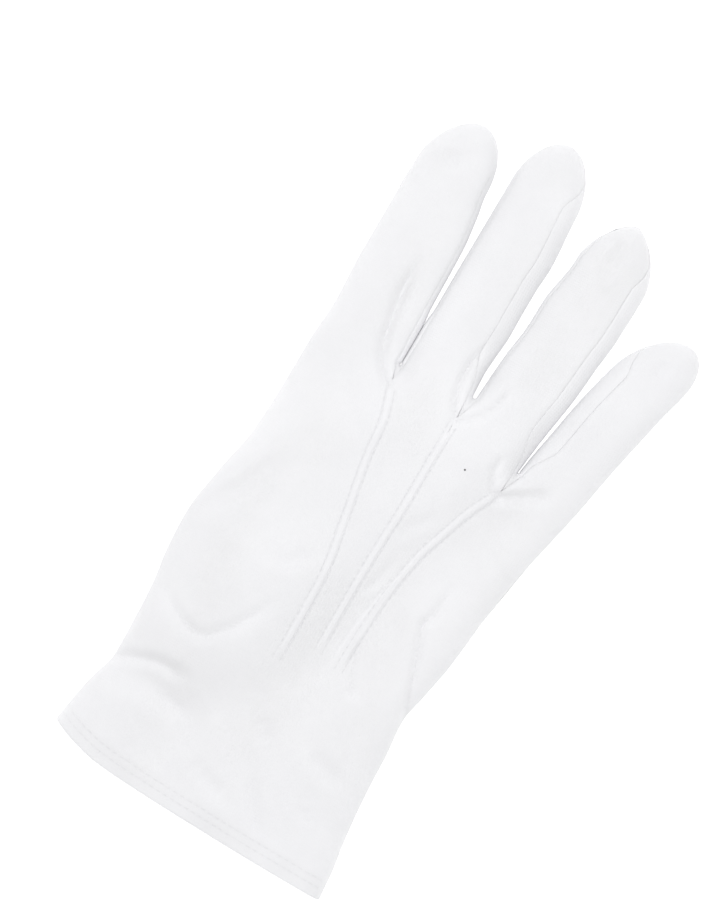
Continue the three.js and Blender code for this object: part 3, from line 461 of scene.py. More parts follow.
def reach(length, rounding, height):
    """How far in from the outline a length of cloth gets, and what share of the full height."""
    length, height = np.broadcast_arrays(np.asarray(length, float), np.asarray(height, float))
    done = quarter_lengths(rounding, height)
    k = np.clip((done < length[..., None]).sum(-1), 1, len(TURN) - 1)
    low = np.take_along_axis(done, k[..., None] - 1, -1)[..., 0]
    high = np.take_along_axis(done, k[..., None], -1)[..., 0]
    t = np.clip((length - low) / (high - low), 0, 1)
    beyond = np.maximum(0, length - done[..., -1])
    return rounding * mix(QUARTER_IN[k - 1], QUARTER_IN[k], t) + beyond, mix(QUARTER_UP[k - 1], QUARTER_UP[k], t)


def cloth_to(inward, rounding, height):
    """The length of cloth that it takes to get a distance in from the outline."""
    inward, height = np.broadcast_arrays(np.asarray(inward, float), np.asarray(height, float))
    done = quarter_lengths(rounding, height)
    held = np.clip(inward / rounding, 0, 1)
    k = np.clip(np.searchsorted(QUARTER_IN, held), 1, len(TURN) - 1)
    t = (held - QUARTER_IN[k - 1]) / (QUARTER_IN[k] - QUARTER_IN[k - 1])
    low = np.take_along_axis(done, k[..., None] - 1, -1)[..., 0]
    high = np.take_along_axis(done, k[..., None], -1)[..., 0]
    return mix(low, high, t) + np.maximum(0, inward - rounding)


def share_at(inward, rounding):
    return (1 - np.maximum(0, 1 - inward / rounding) ** POWER) ** (1 / POWER)


# A place of the plan is x, y, the distance in from the outline, the direction in, and the share of the height.
def places(x, y, over, share=None, line=OUTLINE):
    """Places whose distance and direction are those of the nearest outline."""
    rounding = rounding_of(over)
    flat = np.stack([x.ravel(), y.ravel()], axis=1)
    distance, away, _ = line.nearest(flat)
    ends = np.array([(finger_edge(f, 1, f["base"] + f["length"]), f["base"] + f["length"]) for f in FINGERS])
    tips = (distance < 0.02) & (np.linalg.norm(flat[:, None] - ends[None], axis=2).min(axis=1) < 4)
    if tips.any():
        away[tips] = line.nearest(flat[tips] - np.array([0, 0.3]))[1]
    part = share_at(distance, rounding) if share is None else share
    return np.stack([flat[:, 0], flat[:, 1], distance, away[:, 0], away[:, 1], part], axis=1).reshape(*x.shape, 6)


def edge_place(finger, side, y):
    """A point of a finger's outline, and the direction in from it. The outermost sides run on down the hand."""
    free = finger is FINGERS[0 if side < 0 else 3]
    edge = (lambda at: side_edge(side, at)) if free else (lambda at: finger_edge(finger, side, at))
    high = np.minimum(y, finger["base"] + finger["length"])
    x = edge(high)
    slope = (x - edge(high - 0.4)) / 0.4
    long = np.hypot(slope, 1)
    return x, high, -side / long, side * slope / long


def row_y(i, side, share):
    """The height up the hand of a row of a finger's side, from its crotch at 0 to its tip at 1."""
    crotch = crotch_beside(i, side)
    low = crotch["slit"][1] if crotch else FINGERS[i]["base"] - 2
    return mix(low, FINGERS[i]["base"] + FINGERS[i]["length"], share)


def seam_cloth(i, side, y, over):
    """The length of cloth from the outline to the seam on a finger's side."""
    finger = FINGERS[i]
    full = finger["over" if over > 0 else "under"][0 if side < 0 else 1]
    rise = SEAM_RISE if over > 0 else 2 * SEAM_RISE
    crotch = crotch_beside(i, side)
    start = crotch["slit"][1] if crotch else y
    end = row_y(i, side, SEAM_END)
    taper = 1 - ease(y, end - 3 * math.sqrt(full) - 6, end)
    return mix(min(full, SEAM_START), full, ease(y, start, start + rise)) * taper


def seam_place(i, side, y, over, slack=0.0):
    """Places on the seam of a finger's side, or off it by slack, away from the outline."""
    y = np.asarray(y, float)
    x, y_held, nx, ny = edge_place(FINGERS[i], side, y)
    _, rise, fall = body(x, y_held)
    cloth = np.maximum(0, seam_cloth(i, side, y, over) + slack)
    inward, share = reach(cloth, rounding_of(over), rise if over > 0 else fall)
    return np.stack([x + nx * inward, y_held + ny * inward, inward, nx, ny, share], axis=-1)


def joint_place(i, side, over, share, short=0.0):
    """The same seam below the slit, a share of the way down to the joint of the gusset's two seams."""
    crotch = crotch_beside(i, side)
    seam = seam_place(i, side, np.array([crotch["slit"][1]]), over)[0]
    joint = np.array(crotch["joint" if over > 0 else "below"], float)
    up = np.array(crotch["slit"]) - joint
    end = joint + up / np.linalg.norm(up) * short
    share = np.asarray(share, float)
    return places(mix(seam[0], end[0], share), mix(seam[1], end[1], share), over)


def divider(line, share):
    """The lines that part the hand in four: its left side, the three raised points, its right side."""
    share = np.asarray(share, float)
    if line in (0, 4):
        side = -1 if line == 0 else 1
        y = mix(mouth_y(side * PALM_WIDTH / 2), FINGERS[0 if line == 0 else 3]["base"] - 8, share)
        return side_edge(side, y), y
    joint = CROTCHES[line - 1]["joint"]
    along = lambda y: PALM_WIDTH * read_table(POINTS, line, y / HAND_LENGTH)
    y = mix(mouth_y(along(-CUFF_LENGTH)), joint[1], share)
    return along(y) + (joint[0] - along(joint[1])) * ease(y, joint[1] - 14, joint[1]), y


def row_place(a, b, across, up):
    """Places in rows between two dividers. The rows bow as the mouth does."""
    ax, ay, bx, by = (part[:, None] for part in (*a, *b))
    x = mix(ax, bx, across)
    bow = mouth_y(x) - mix(mouth_y(ax), mouth_y(bx), across)
    return x, mix(ay, by, across) + bow * (1 - up[:, None]) ** 2


SEAM_STEPS = np.array([0, 0.15, 0.35, 0.6, 0.9, 1.3])
POINT_STEPS = np.array([0, 0.35, 0.65, 0.85, 1.0, 1.2, 1.5, 2.1])
HAND_COUNT = (52, 34, 34, 42)


def spaced(low, high, count, before=(0,), after=(0,)):
    """Rows of count steps from low to high, with the given first and last steps and even ones between them."""
    middle = np.linspace(0, 1, count - len(before) - len(after) + 2)[1:-1]
    start, end = low + before[-1], high - after[-1]
    return np.concatenate([
        low[:, None] + np.array(before), start[:, None] + (end - start)[:, None] * middle,
        high[:, None] - np.array(after)[::-1],
    ], axis=1)


def finger_shares(i, left, right, over):
    """The columns' shares of the way across a finger, evenly spaced along the cloth."""
    rounding = rounding_of(over)
    edges = []
    for side, seam in ((-1, left), (1, right)):
        x, y = seam[:, 0] - seam[:, 3] * seam[:, 2], seam[:, 1] - seam[:, 4] * seam[:, 2]
        _, rise, fall = body(x, y)
        edges.append((x, y, rise if over > 0 else fall))
    width = np.hypot(edges[0][0] - edges[1][0], edges[0][1] - edges[1][1])
    chord = np.maximum(np.hypot(left[:, 0] - right[:, 0], left[:, 1] - right[:, 1]), 1e-6)
    starts = [cloth_to(seam[:, 2], rounding, edge[2]) for seam, edge in zip((left, right), edges)]
    lengths = [cloth_to(width / 2, rounding, edge[2]) - start for edge, start in zip(edges, starts)]
    total = np.maximum(lengths[0] + lengths[1], 1e-6)
    shrink = np.clip(total / 12, 1e-3, 1)
    steps = spaced(0 * total, total / shrink, HAND_COUNT[i] + 1, SEAM_STEPS, SEAM_STEPS) * shrink[:, None]
    from_left = reach(starts[0][:, None] + steps, rounding, np.repeat(edges[0][2][:, None], steps.shape[1], 1))[0]
    back = starts[1][:, None] + total[:, None] - steps
    from_right = reach(back, rounding, np.repeat(edges[1][2][:, None], steps.shape[1], 1))[0]
    left_share = (from_left - left[:, 2:3]) / chord[:, None]
    right_share = 1 - (from_right - right[:, 2:3]) / chord[:, None]
    share = np.where(steps < lengths[0][:, None], left_share, right_share)
    return np.clip(np.maximum.accumulate(share, axis=1), 0, 1)


def hand_shares(quarter, width, over, height):
    """The columns' shares of the way across a quarter of the hand."""
    rounding = rounding_of(over)
    count = HAND_COUNT[quarter] + 1
    foot = POINT_STEPS if over > 0 else np.array([0.0])
    if quarter in (1, 2):
        return spaced(0 * width, width, count, foot, foot) / width[:, None]
    total = cloth_to(width, rounding, height)
    steps = spaced(0 * total, total, count, SEAM_STEPS, foot)
    share = reach(steps, rounding, np.repeat(height[:, None], count, 1))[0] / width[:, None]
    return share if quarter == 0 else 1 - share[:, ::-1]


def panel_patches(over):
    """The patches of the back (over 1) or the palm (over -1), four quarters each with its finger, and the seams."""
    rounding = rounding_of(over)
    long_way = CUFF_LENGTH + HAND_LENGTH
    edge = np.array([0, 0.25, 0.6, 1.1, 1.8]) / long_way
    up = np.concatenate([edge, np.linspace(edge[-1], 1, round((long_way - 1) / (STEP * 1.15)))[1:]])
    joint_rows = np.arange(1, 8) / 7
    patches = []
    seams = []
    for quarter, finger in enumerate(FINGERS):
        ax, ay = divider(quarter, up)
        bx, by = divider(quarter + 1, up)
        width = np.hypot(bx - ax, by - ay)
        side = -1 if quarter == 0 else 1
        ex, ey = (ax, ay) if quarter == 0 else (bx, by)
        _, rise, fall = body(ex, ey)
        height = rise if over > 0 else fall
        long = finger["base"] + finger["length"] - 113
        plain = np.linspace(0, 1 - TIP_ROWS / long, round((long - TIP_ROWS) / (STEP * 1.1)))
        shares = np.concatenate([plain, 1 - TIP_ROWS / long * (1 - np.sin(np.linspace(0, np.pi / 2, 24)[1:]))])
        sides = []
        for s in (-1, 1):
            if crotch_beside(quarter, s):
                below = joint_place(quarter, s, over, 1 - joint_rows[:-1])
            else:
                below = seam_place(quarter, s, mix(finger["base"] - 8, finger["base"] - 2, joint_rows[:-1]), over)
            sides.append(np.concatenate([below, seam_place(quarter, s, row_y(quarter, s, shares), over)]))
        left, right = sides
        across = finger_shares(quarter, left, right, over)
        first = across[len(joint_rows)]
        hand = hand_shares(quarter, width, over, height)
        hand = mix(hand, first, ease(up, 0.86, 1)[:, None])
        across[:len(joint_rows)] = mix(first, across[:len(joint_rows)], joint_rows[:, None])
        x, y = row_place((ax, ay), (bx, by), hand, up)
        if over < 0:
            drop = ease(up, 0.8, 1)[:, None]
            ends = []
            for crotch in (crotch_beside(quarter, -1), crotch_beside(quarter, 1)):
                ends.append(np.subtract(crotch["below"], crotch["joint"]) if crotch else np.zeros(2))
            x = x + drop * mix(ends[0][0], ends[1][0], hand)
            y = y + drop * mix(ends[0][1], ends[1][1], hand)
        grid = places(x, y, over)
        if quarter in (0, 3):
            slope = (side_edge(side, ey + 1) - side_edge(side, ey - 1)) / 2
            long = np.hypot(slope, 1)
            free = grid[:, 0 if quarter == 0 else -1]
            free[:] = np.stack([ex, ey, 0 * ex, -side / long, side * slope / long, 0 * ex], axis=1)
            seams.append(free)
        top = places(mix(left[:, :1], right[:, :1], across), mix(left[:, 1:2], right[:, 1:2], across), over)
        top[:, 0], top[:, -1] = left, right
        top[-1] = left[-1]
        patches += [grid, np.concatenate([grid[-1:], top])]
        seams += [left, right]
    return patches, seams


def skin(place, over, inset):
    """Points of a skin over or under places, inset from the outermost one."""
    rounding = rounding_of(over)
    x, y, distance, nx, ny, share = np.moveaxis(place.reshape(-1, 6), 1, 0)
    inset = np.broadcast_to(inset, place.shape[:-1]).ravel()
    level, rise, fall = body(x, y)
    shift = inset * np.maximum(0, 1 - distance / rounding)
    height = rise - inset if over > 0 else -(fall - inset)
    return np.stack([x + nx * shift, y + ny * shift, level + height * share], axis=1)


def stretched(place, over):
    """The place laid flat: its plan point moved out by the cloth that the rounded edge takes up, in metres."""
    rounding = rounding_of(over)
    x, y, distance, nx, ny, _ = np.moveaxis(place.reshape(-1, 6), 1, 0)
    height = np.full(x.shape, 6.5 if over > 0 else 5.0)
    spare = cloth_to(np.full(x.shape, float(rounding)), rounding, height) - rounding
    extra = np.maximum(0, spare - (cloth_to(distance, rounding, height) - distance))
    return np.stack([x - nx * extra, y - ny * extra], axis=1) / 1000


def normals_of(points, quads):
    """Unit normals at the points, the faces' own weighted by area."""
    a, b, c, d = (points[quads[:, k]] for k in range(4))
    face = np.cross(c - a, d - b)
    total = np.zeros(points.shape)
    for k in range(4):
        np.add.at(total, quads[:, k], face)
    return total / np.maximum(np.linalg.norm(total, axis=1), 1e-12)[:, None]


class Cloth:
    """A sheet of cloth: an outer skin, an inner skin one wall further in, and a rim round every free edge."""

    def __init__(self):
        self.outer, self.inner, self.flat, self.quads, self.count = [], [], [], [], 0

    def patch(self, outer, inner, flat, shape, turned):
        """Adds a grid of rows and columns: its points, those of its inner skin, and its chart laid flat."""
        rows, columns = shape
        index = self.count + np.arange(rows * columns).reshape(rows, columns)
        quads = np.stack([index[:-1, :-1], index[:-1, 1:], index[1:, 1:], index[1:, :-1]], axis=-1).reshape(-1, 4)
        self.quads.append(quads[:, ::-1] if turned else quads)
        self.outer.append(outer)
        self.inner.append(inner)
        self.flat.append(flat)
        self.count += rows * columns

    def weld(self):
        """Joins the patches where their points meet, and drops the faces that have no area."""
        outer, inner, flat = (np.concatenate(part) for part in (self.outer, self.inner, self.flat))
        quads = np.concatenate(self.quads)
        key = np.round(np.concatenate([outer, inner], axis=1) * 400).astype(np.int64)
        _, keep, where = np.unique(key, axis=0, return_index=True, return_inverse=True)
        where = where.ravel()
        self.flat_corner = flat[quads]
        self.faces = where[quads]
        self.points, self.lining = outer[keep], inner[keep]
        doubled = (self.faces == np.roll(self.faces, -1, axis=1)).sum(axis=1)
        whole = (self.faces[:, :2] != self.faces[:, 2:]).all(axis=1) & (doubled < 2)
        self.faces, self.flat_corner = self.faces[whole], self.flat_corner[whole]
        self.normals = normals_of(self.points, self.faces)
        return self

    def mesh(self, name, relief):
        """The finished mesh in metres, its outer skin raised by relief millimetres along its normals."""
        points = np.concatenate([self.points + self.normals * relief[:, None], self.lining])
        count = len(self.points)
        faces, charts = [], []
        for face, chart in zip(self.faces.tolist(), self.flat_corner.tolist()):
            kept = [k for k in range(4) if face[k] != face[k - 1]]
            faces.append([face[k] for k in kept])
            charts.append([chart[k] for k in kept])
        edges = {}
        for face, chart in zip(faces, charts):
            for k, a in enumerate(face):
                edges[(a, face[(k + 1) % len(face)])] = (chart[k], chart[(k + 1) % len(face)])
        rims = [(a, b) for a, b in edges if (b, a) not in edges]
        lined = [[v + count for v in reversed(face)] for face in faces]
        joined = [[b, a, a + count, b + count] for a, b in rims]
        uvs = charts + [list(reversed(chart)) for chart in charts]
        uvs += [[edges[rim][1], edges[rim][0], edges[rim][0], edges[rim][1]] for rim in rims]
        made = bpy.data.meshes.new(name)
        made.from_pydata(((points + ROW_FRAME) / 1000).tolist(), [], faces + lined + joined)
        layer = made.uv_layers.new(name="cloth")
        layer.data.foreach_set("uv", np.array([uv for face in uvs for uv in face]).ravel())
        made.polygons.foreach_set("use_smooth", [True] * len(made.polygons))
        made.set_sharp_from_angle(angle=math.radians(55))
        return made


def flow(points, length, seed):
    """Soft noise from -1 to 1 over waves of about length millimetres, drawn out along the hand."""
    scaled = points / np.array([length, length * 1.7, length])
    return np.array([noise.noise(Vector(p) + Vector((seed, seed * 0.7, seed * 1.3))) for p in scaled]) * 1.4


def seam_relief(points, line, deep=0.03, pucker=0.04):
    """The cloth beside a seam: drawn in at the stitches, rolled up beside them, most of all round the crotches."""
    distance, _, along = line.nearest(points)
    joints = np.array([crotch["joint"] for crotch in CROTCHES])
    to_joint = np.linalg.norm(points[:, None, :2] - joints[None], axis=2).min(axis=1)
    rim = 1 - ease(to_joint, 4, 13)
    drawn = -deep * np.exp(-(distance / 0.65) ** 2)
    roll = (0.07 + 0.20 * rim) * np.exp(-((distance - 1.5) / 1.0) ** 2)
    phase = along / 3.7 + 1.3 * np.sin(along / 11.0) + 0.6 * np.sin(along / 4.3)
    strength = 0.65 + 0.35 * np.sin(along / 17.0 + 1.0)
    beside = np.exp(-distance / 2.6) * (1 - np.exp(-(distance / 0.7) ** 2))
    return drawn + roll + pucker * strength * np.sin(2 * np.pi * phase) * beside


def point_course(line):
    x, y = divider(line, np.linspace(0, 1, 700))
    return np.stack([x, y], axis=1)


def point_relief(points):
    """The three raised points: narrow tucks pressed flat, the last one with a long slope on its left low down."""
    total = np.zeros(len(points))
    for line, low, broad in zip((1, 2, 3), POINT_LOW_ENDS, (0, 0, 2.6)):
        course = Line(point_course(line))
        distance, away, _ = course.nearest(points[:, :2])
        up = points[:, 1]
        left = (away[:, 0] < 0) * broad * (1 - ease(up, 22, 58))
        distance = np.maximum(0, distance - left)
        top = CROTCHES[line - 1]["joint"][1]
        stands = ease(up, low, low + 12) * (1 - ease(up, top - 4, top - 0.5))
        tuck = 0.44 * (1 - ease(distance, 0.35, 1.45))
        foot = -0.06 * np.exp(-((distance - 1.5) / 0.45) ** 2)
        draw = 0.05 * np.sin(2 * np.pi * up / 2.7) * np.exp(-((distance - 1.9) / 0.9) ** 2)
        total += stands * (tuck + foot + draw)
    return total


# Fine cotton interlock: matt white, a little fuzzy, with narrow columns of loops. The real columns are 0.6 mm apart,
# too fine for the picture, so they are drawn 1.0 mm apart, and their loops 0.9 mm. Light spreads 1 mm into the cloth.
COLUMN_PITCH = 1.0
LOOP_PITCH = 0.9


def knitted_cotton(speck):
    """The cotton of every piece, with one dark speck 0.6 mm across at a place of the back."""
    made = bpy.data.materials.new("white knitted cotton")
    made.use_nodes = True
    tree = made.node_tree
    surface = tree.nodes["Principled BSDF"]
    surface.inputs["Roughness"].default_value = 0.92
    surface.inputs["Specular IOR Level"].default_value = 0.2
    surface.inputs["Sheen Weight"].default_value = 0.25
    surface.inputs["Sheen Roughness"].default_value = 0.6
    surface.inputs["Subsurface Weight"].default_value = 0.5
    surface.inputs["Subsurface Radius"].default_value = (1, 1, 1)
    surface.inputs["Subsurface Scale"].default_value = 0.0010
    chart = add(tree, "ShaderNodeUVMap", {"uv_map": "cloth"})
    parts = add(tree, "ShaderNodeSeparateXYZ", inputs={"Vector": chart.outputs["UV"]})
    bend = reckon(tree, "PINGPONG", reckon(tree, "MULTIPLY", parts.outputs["X"], 1000 / COLUMN_PITCH), 0.5)
    course = reckon(tree, "MULTIPLY", parts.outputs["Y"], 1000 / LOOP_PITCH)
    turns = reckon(tree, "MULTIPLY", reckon(tree, "MULTIPLY_ADD", bend, 0.9, course), 2 * math.pi)
    loops = reckon(tree, "SINE", turns)
    weave = reckon(tree, "MULTIPLY_ADD", loops, 0.35, reckon(tree, "MULTIPLY", bend, 2.2))
    where = add(tree, "ShaderNodeTexCoord").outputs["Object"]
    fuzz = add(tree, "ShaderNodeTexNoise", inputs={"Vector": where, "Scale": 900.0, "Detail": 3.0})
    rough = reckon(tree, "MULTIPLY_ADD", fuzz.outputs["Fac"], 1.1, weave)
    bump = add(tree, "ShaderNodeBump", inputs={"Height": rough, "Strength": 0.28, "Distance": 0.00012})
    tree.links.new(bump.outputs["Normal"], surface.inputs["Normal"])
    cloud = add(tree, "ShaderNodeTexNoise", inputs={"Vector": where, "Scale": 45.0, "Detail": 2.0})
    shade = add(tree, "ShaderNodeMapRange", inputs={
        "Value": cloud.outputs["Fac"], "From Min": 0.3, "From Max": 0.7, "To Min": 0.965, "To Max": 1.0})
    light = add(tree, "ShaderNodeVectorMath", {"operation": "SCALE"},
                {0: colour("#ebebed")[:3], "Scale": shade.outputs["Result"]})
    near = add(tree, "ShaderNodeVectorMath", {"operation": "DISTANCE"}, {0: where, 1: speck})
    dot = add(tree, "ShaderNodeMapRange", inputs={
        "Value": near.outputs["Value"], "From Min": 0.00022, "From Max": 0.00042, "To Min": 1.0, "To Max": 0.0})
    spotted = add(tree, "ShaderNodeMix", {"data_type": "RGBA"},
                  {"Factor": dot.outputs["Result"], "B": colour("#3c3a38")})
    tree.links.new(light.outputs["Vector"], spotted.inputs["A"])
    tree.links.new(spotted.outputs["Result"], surface.inputs["Base Color"])
    return made


def sew(patches, over):
    """The patches of one panel as a welded cloth."""
    cloth = Cloth()
    for grid in patches:
        cloth.patch(skin(grid, over, 0), skin(grid, over, WALL), stretched(grid, over), grid.shape[:2], over < 0)
    return cloth.weld()


def mouth_relief(points):
    """The cuff's edge, rounded where the cloth turns in."""
    return -0.45 * np.maximum(0, 1 - (points[:, 1] - mouth_y(points[:, 0])) / 1.1) ** 2


def cloth_piece(name, node, mesh, material):
    """The mesh as a piece of its own that stands for its node."""
    piece = new_object(name, mesh)
    piece.data.materials.append(material)
    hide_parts(node)
    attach(piece, "root")
    return piece


SPECK = (22.7, 93.8)
patches, seams = panel_patches(1)
back_cloth = sew(patches, 1)
back_seams = Line(*[skin(seam, 1, 0) for seam in seams])
back_relief = seam_relief(back_cloth.points, back_seams) + point_relief(back_cloth.points)
back_relief += mouth_relief(back_cloth.points)
back_relief += 0.36 * flow(back_cloth.points, 19, 3.1) + 0.05 * flow(back_cloth.points, 5, 8.2)
raised = back_cloth.points + back_cloth.normals * back_relief[:, None]
nearest_point = np.argmin(np.hypot(raised[:, 0] - SPECK[0], raised[:, 1] - SPECK[1]))
cotton = knitted_cotton(tuple(((raised[nearest_point] + ROW_FRAME) / 1000).tolist()))
back = cloth_piece("back_cloth", "back_panel", back_cloth.mesh("back_panel", back_relief), cotton)


# ---- Palm panel ----
# The palm with its four finger fronts, one piece of the same cotton, with an oval hole that the thumb is set into.
# It carries the thumb folded in under it, and lies flat on the table where the thumb doesn't hold it up.
OVAL = dict(length=58, width=29, along=39, across=-14.5)


def oval_prism(low, high):
    """An upright prism with the oval's outline, between two heights."""
    turn = np.linspace(0, 2 * np.pi, 97)[:-1]
    along = OVAL["along"] + OVAL["length"] / 2 * np.sin(turn)
    across = OVAL["across"] + OVAL["width"] / 2 * np.cos(turn)
    x, y = thumb_point(along, across)
    ring = np.stack([x, y], axis=1)
    points = np.concatenate([np.pad(ring, ((0, 0), (0, 1)), constant_values=z) for z in (low, high)])
    count = len(ring)
    sides = [[k, (k + 1) % count, count + (k + 1) % count, count + k] for k in range(count)]
    signed = sum(ring[k - 1, 0] * ring[k, 1] - ring[k, 0] * ring[k - 1, 1] for k in range(count))
    faces = sides + [list(range(count))[::-1], list(range(count, 2 * count))]
    if signed < 0:
        faces = [face[::-1] for face in faces]
    made = bpy.data.meshes.new("oval")
    made.from_pydata(((points + ROW_FRAME) / 1000).tolist(), [], faces)
    return made


def cut_oval(mesh, low, high):
    """Cuts the thumb's oval through the part of a mesh between two heights."""
    held = new_object("uncut", mesh)
    tool = new_object("oval", oval_prism(low, high))
    cut = held.modifiers.new("oval", "BOOLEAN")
    cut.operation = "DIFFERENCE"
    cut.solver = "MANIFOLD"
    cut.object = tool
    made = bpy.data.meshes.new_from_object(held.evaluated_get(bpy.context.evaluated_depsgraph_get()))
    made.name = mesh.name + "_cut"
    bpy.data.objects.remove(held)
    bpy.data.objects.remove(tool)
    return made


patches, seams = panel_patches(-1)
palm_cloth = sew(patches, -1)
palm_seams = Line(*[skin(seam, -1, 0) for seam in seams])
palm_relief = seam_relief(palm_cloth.points, palm_seams) + mouth_relief(palm_cloth.points)
off_table = ease(palm_cloth.points[:, 2], 0.2, 1.6)
palm_relief += off_table * (0.22 * flow(palm_cloth.points, 15, 5.4) + 0.06 * flow(palm_cloth.points, 5, 1.2))
palm_relief = np.where(palm_relief > 0, off_table * palm_relief, palm_relief)
palm_mesh = cut_oval(palm_cloth.mesh("palm_panel", palm_relief), -1, 30)
palm = cloth_piece("palm_cloth", "palm_panel", palm_mesh, cotton)


# ---- Fourchettes ----
# Three narrow gussets between the fingers, each one strip of the same cotton, sewn to the back and to the palm down one
# finger, round the bottom of the slit and up the next.
JOINT_GAP = 0.15
# how far the cloth is tucked in past its seam, at the edge and half way, and the first columns beside the seam
TUCKED = (1.2, 0.3)
GUSSET_STEPS = np.array([0, 0.15, 0.35, 0.6])


def gusset_cloth(i):
    """The strip between finger i and the next one, and the lines of its seams above and below."""
    full = np.linspace(0, SEAM_END, round(84 / (STEP * 1.1)))
    turns = np.linspace(0, 1, 8)[1:]
    stations = [
        (i, 1, row_y(i, 1, full[::-1]), None, None),
        (i, 1, None, turns, turns / 2),
        (i + 1, -1, None, turns[::-1][1:], 1 - turns[::-1][1:] / 2),
        (i + 1, -1, row_y(i + 1, -1, full), None, None),
    ]
    halves = {}
    for over in (1, -1):
        rounding = rounding_of(over)
        grids = []
        for finger, side, y, joined, around in stations:
            if joined is None:
                seam = seam_place(finger, side, y, over)
                ex, ey, nx, ny = edge_place(FINGERS[finger], side, y)
            else:
                seam = joint_place(finger, side, over, joined, JOINT_GAP)
                ex, ey = slit_end(i, around)
                span = np.maximum(np.hypot(seam[:, 0] - ex, seam[:, 1] - ey), 1e-9)
                nx, ny = (seam[:, 0] - ex) / span, (seam[:, 1] - ey) / span
            span = np.hypot(seam[:, 0] - ex, seam[:, 1] - ey)
            _, rise, fall = body(ex, ey)
            height = rise if over > 0 else fall
            cloth = cloth_to(seam[:, 2], rounding, height)
            begin = np.minimum(GUSSET_STEPS, cloth[:, None] * np.array([0, 0.1, 0.2, 0.3]))
            rest = np.linspace(0, 1, 10 if over > 0 else 12)[1:]
            lengths = np.concatenate([begin, begin[:, -1:] + (cloth[:, None] - begin[:, -1:]) * rest], axis=1)
            inward, share = reach(cloth[:, None] - lengths, rounding, np.repeat(height[:, None], lengths.shape[1], 1))
            far = inward / np.maximum(seam[:, 2:3], 1e-6) * span[:, None]
            dx, dy = (seam[:, 0] - ex) / np.maximum(span, 1e-6), (seam[:, 1] - ey) / np.maximum(span, 1e-6)
            part = 1 - lengths / np.maximum(cloth[:, None], 1e-6)
            x, y_all = ex[:, None] + dx[:, None] * far, ey[:, None] + dy[:, None] * far
            mx = mix(nx[:, None], seam[:, 3:4], part)
            my = mix(ny[:, None], seam[:, 4:5], part)
            grid = np.stack([x, y_all, inward, mx, my, share], axis=-1)
            grid[:, 0] = seam
            grid[:, -1] = np.stack([ex, ey, 0 * ex, nx, ny, 0 * ex], axis=-1)
            tucks = []
            for depth in TUCKED:
                if joined is None:
                    tucks.append(seam_place(finger, side, y, over, depth))
                else:
                    tucks.append(places(seam[:, 0] + dx * depth, seam[:, 1] + dy * depth, over))
            grids.append(np.concatenate([np.stack(tucks, axis=1), grid], axis=1))
        halves[over] = np.concatenate(grids)
    above, below = halves[1], halves[-1]
    outer = []
    for start, inset in (((1.0, 1.0, 0.35, 0.1), 0), ((1.5, 1.6, 1.3, 1.0), WALL)):
        insets = {over: np.full(halves[over].shape[1], float(inset)) for over in (1, -1)}
        for over in (1, -1):
            insets[over][:4] = start
        top = skin(above, 1, insets[1]).reshape(*above.shape[:2], 3)
        low = skin(below[:, ::-1][:, 1:], -1, insets[-1][::-1][1:]).reshape(below.shape[0], -1, 3)
        outer.append(np.concatenate([top, low], axis=1))
    rows, columns, _ = outer[0].shape
    steps = np.linalg.norm(np.diff(outer[0], axis=1), axis=2)
    across = np.concatenate([np.zeros((rows, 1)), np.cumsum(steps, axis=1)], axis=1)
    middle = outer[0][:, columns // 2]
    along = np.concatenate([[0], np.cumsum(np.linalg.norm(np.diff(middle, axis=0), axis=1))])
    flat = np.stack([across - across[:, -1:] / 2, np.repeat(along[:, None], columns, 1)], axis=-1).reshape(-1, 2) / 1000
    cloth = Cloth()
    cloth.patch(outer[0].reshape(-1, 3), outer[1].reshape(-1, 3), flat, (rows, columns), True)
    cloth.weld()
    tucked = len(TUCKED)
    line = Line(outer[0][:, tucked], outer[0][:, -1 - tucked])
    return cloth, line


def swollen(cloth, i, length):
    """Swells the sides of two fingers until they lie against each other for a length above the crotch."""
    y = cloth.points[:, 1]
    low = CROTCHES[i]["slit"][1]
    gap = finger_edge(FINGERS[i + 1], -1, y) - finger_edge(FINGERS[i], 1, y)
    upright = 1 - cloth.normals[:, 2] ** 2
    touching = ease(y, low - 0.5, low + 1) * (1 - ease(y, low + length - 8, low + length))
    return np.clip(gap / 2 - 0.07, 0, 1.0) * upright * touching


for i, crotch in enumerate(CROTCHES):
    cloth, line = gusset_cloth(i)
    relief = seam_relief(cloth.points, line, 0.05, 0.03) + 0.08 * flow(cloth.points, 8, 2.0 + i)
    if crotch["touching"]:
        relief += swollen(cloth, i, crotch["touching"])
    node = "fourchette_" + crotch["name"]
    gusset = cloth_piece("gusset_" + crotch["name"], node, cloth.mesh(node, relief), cotton)


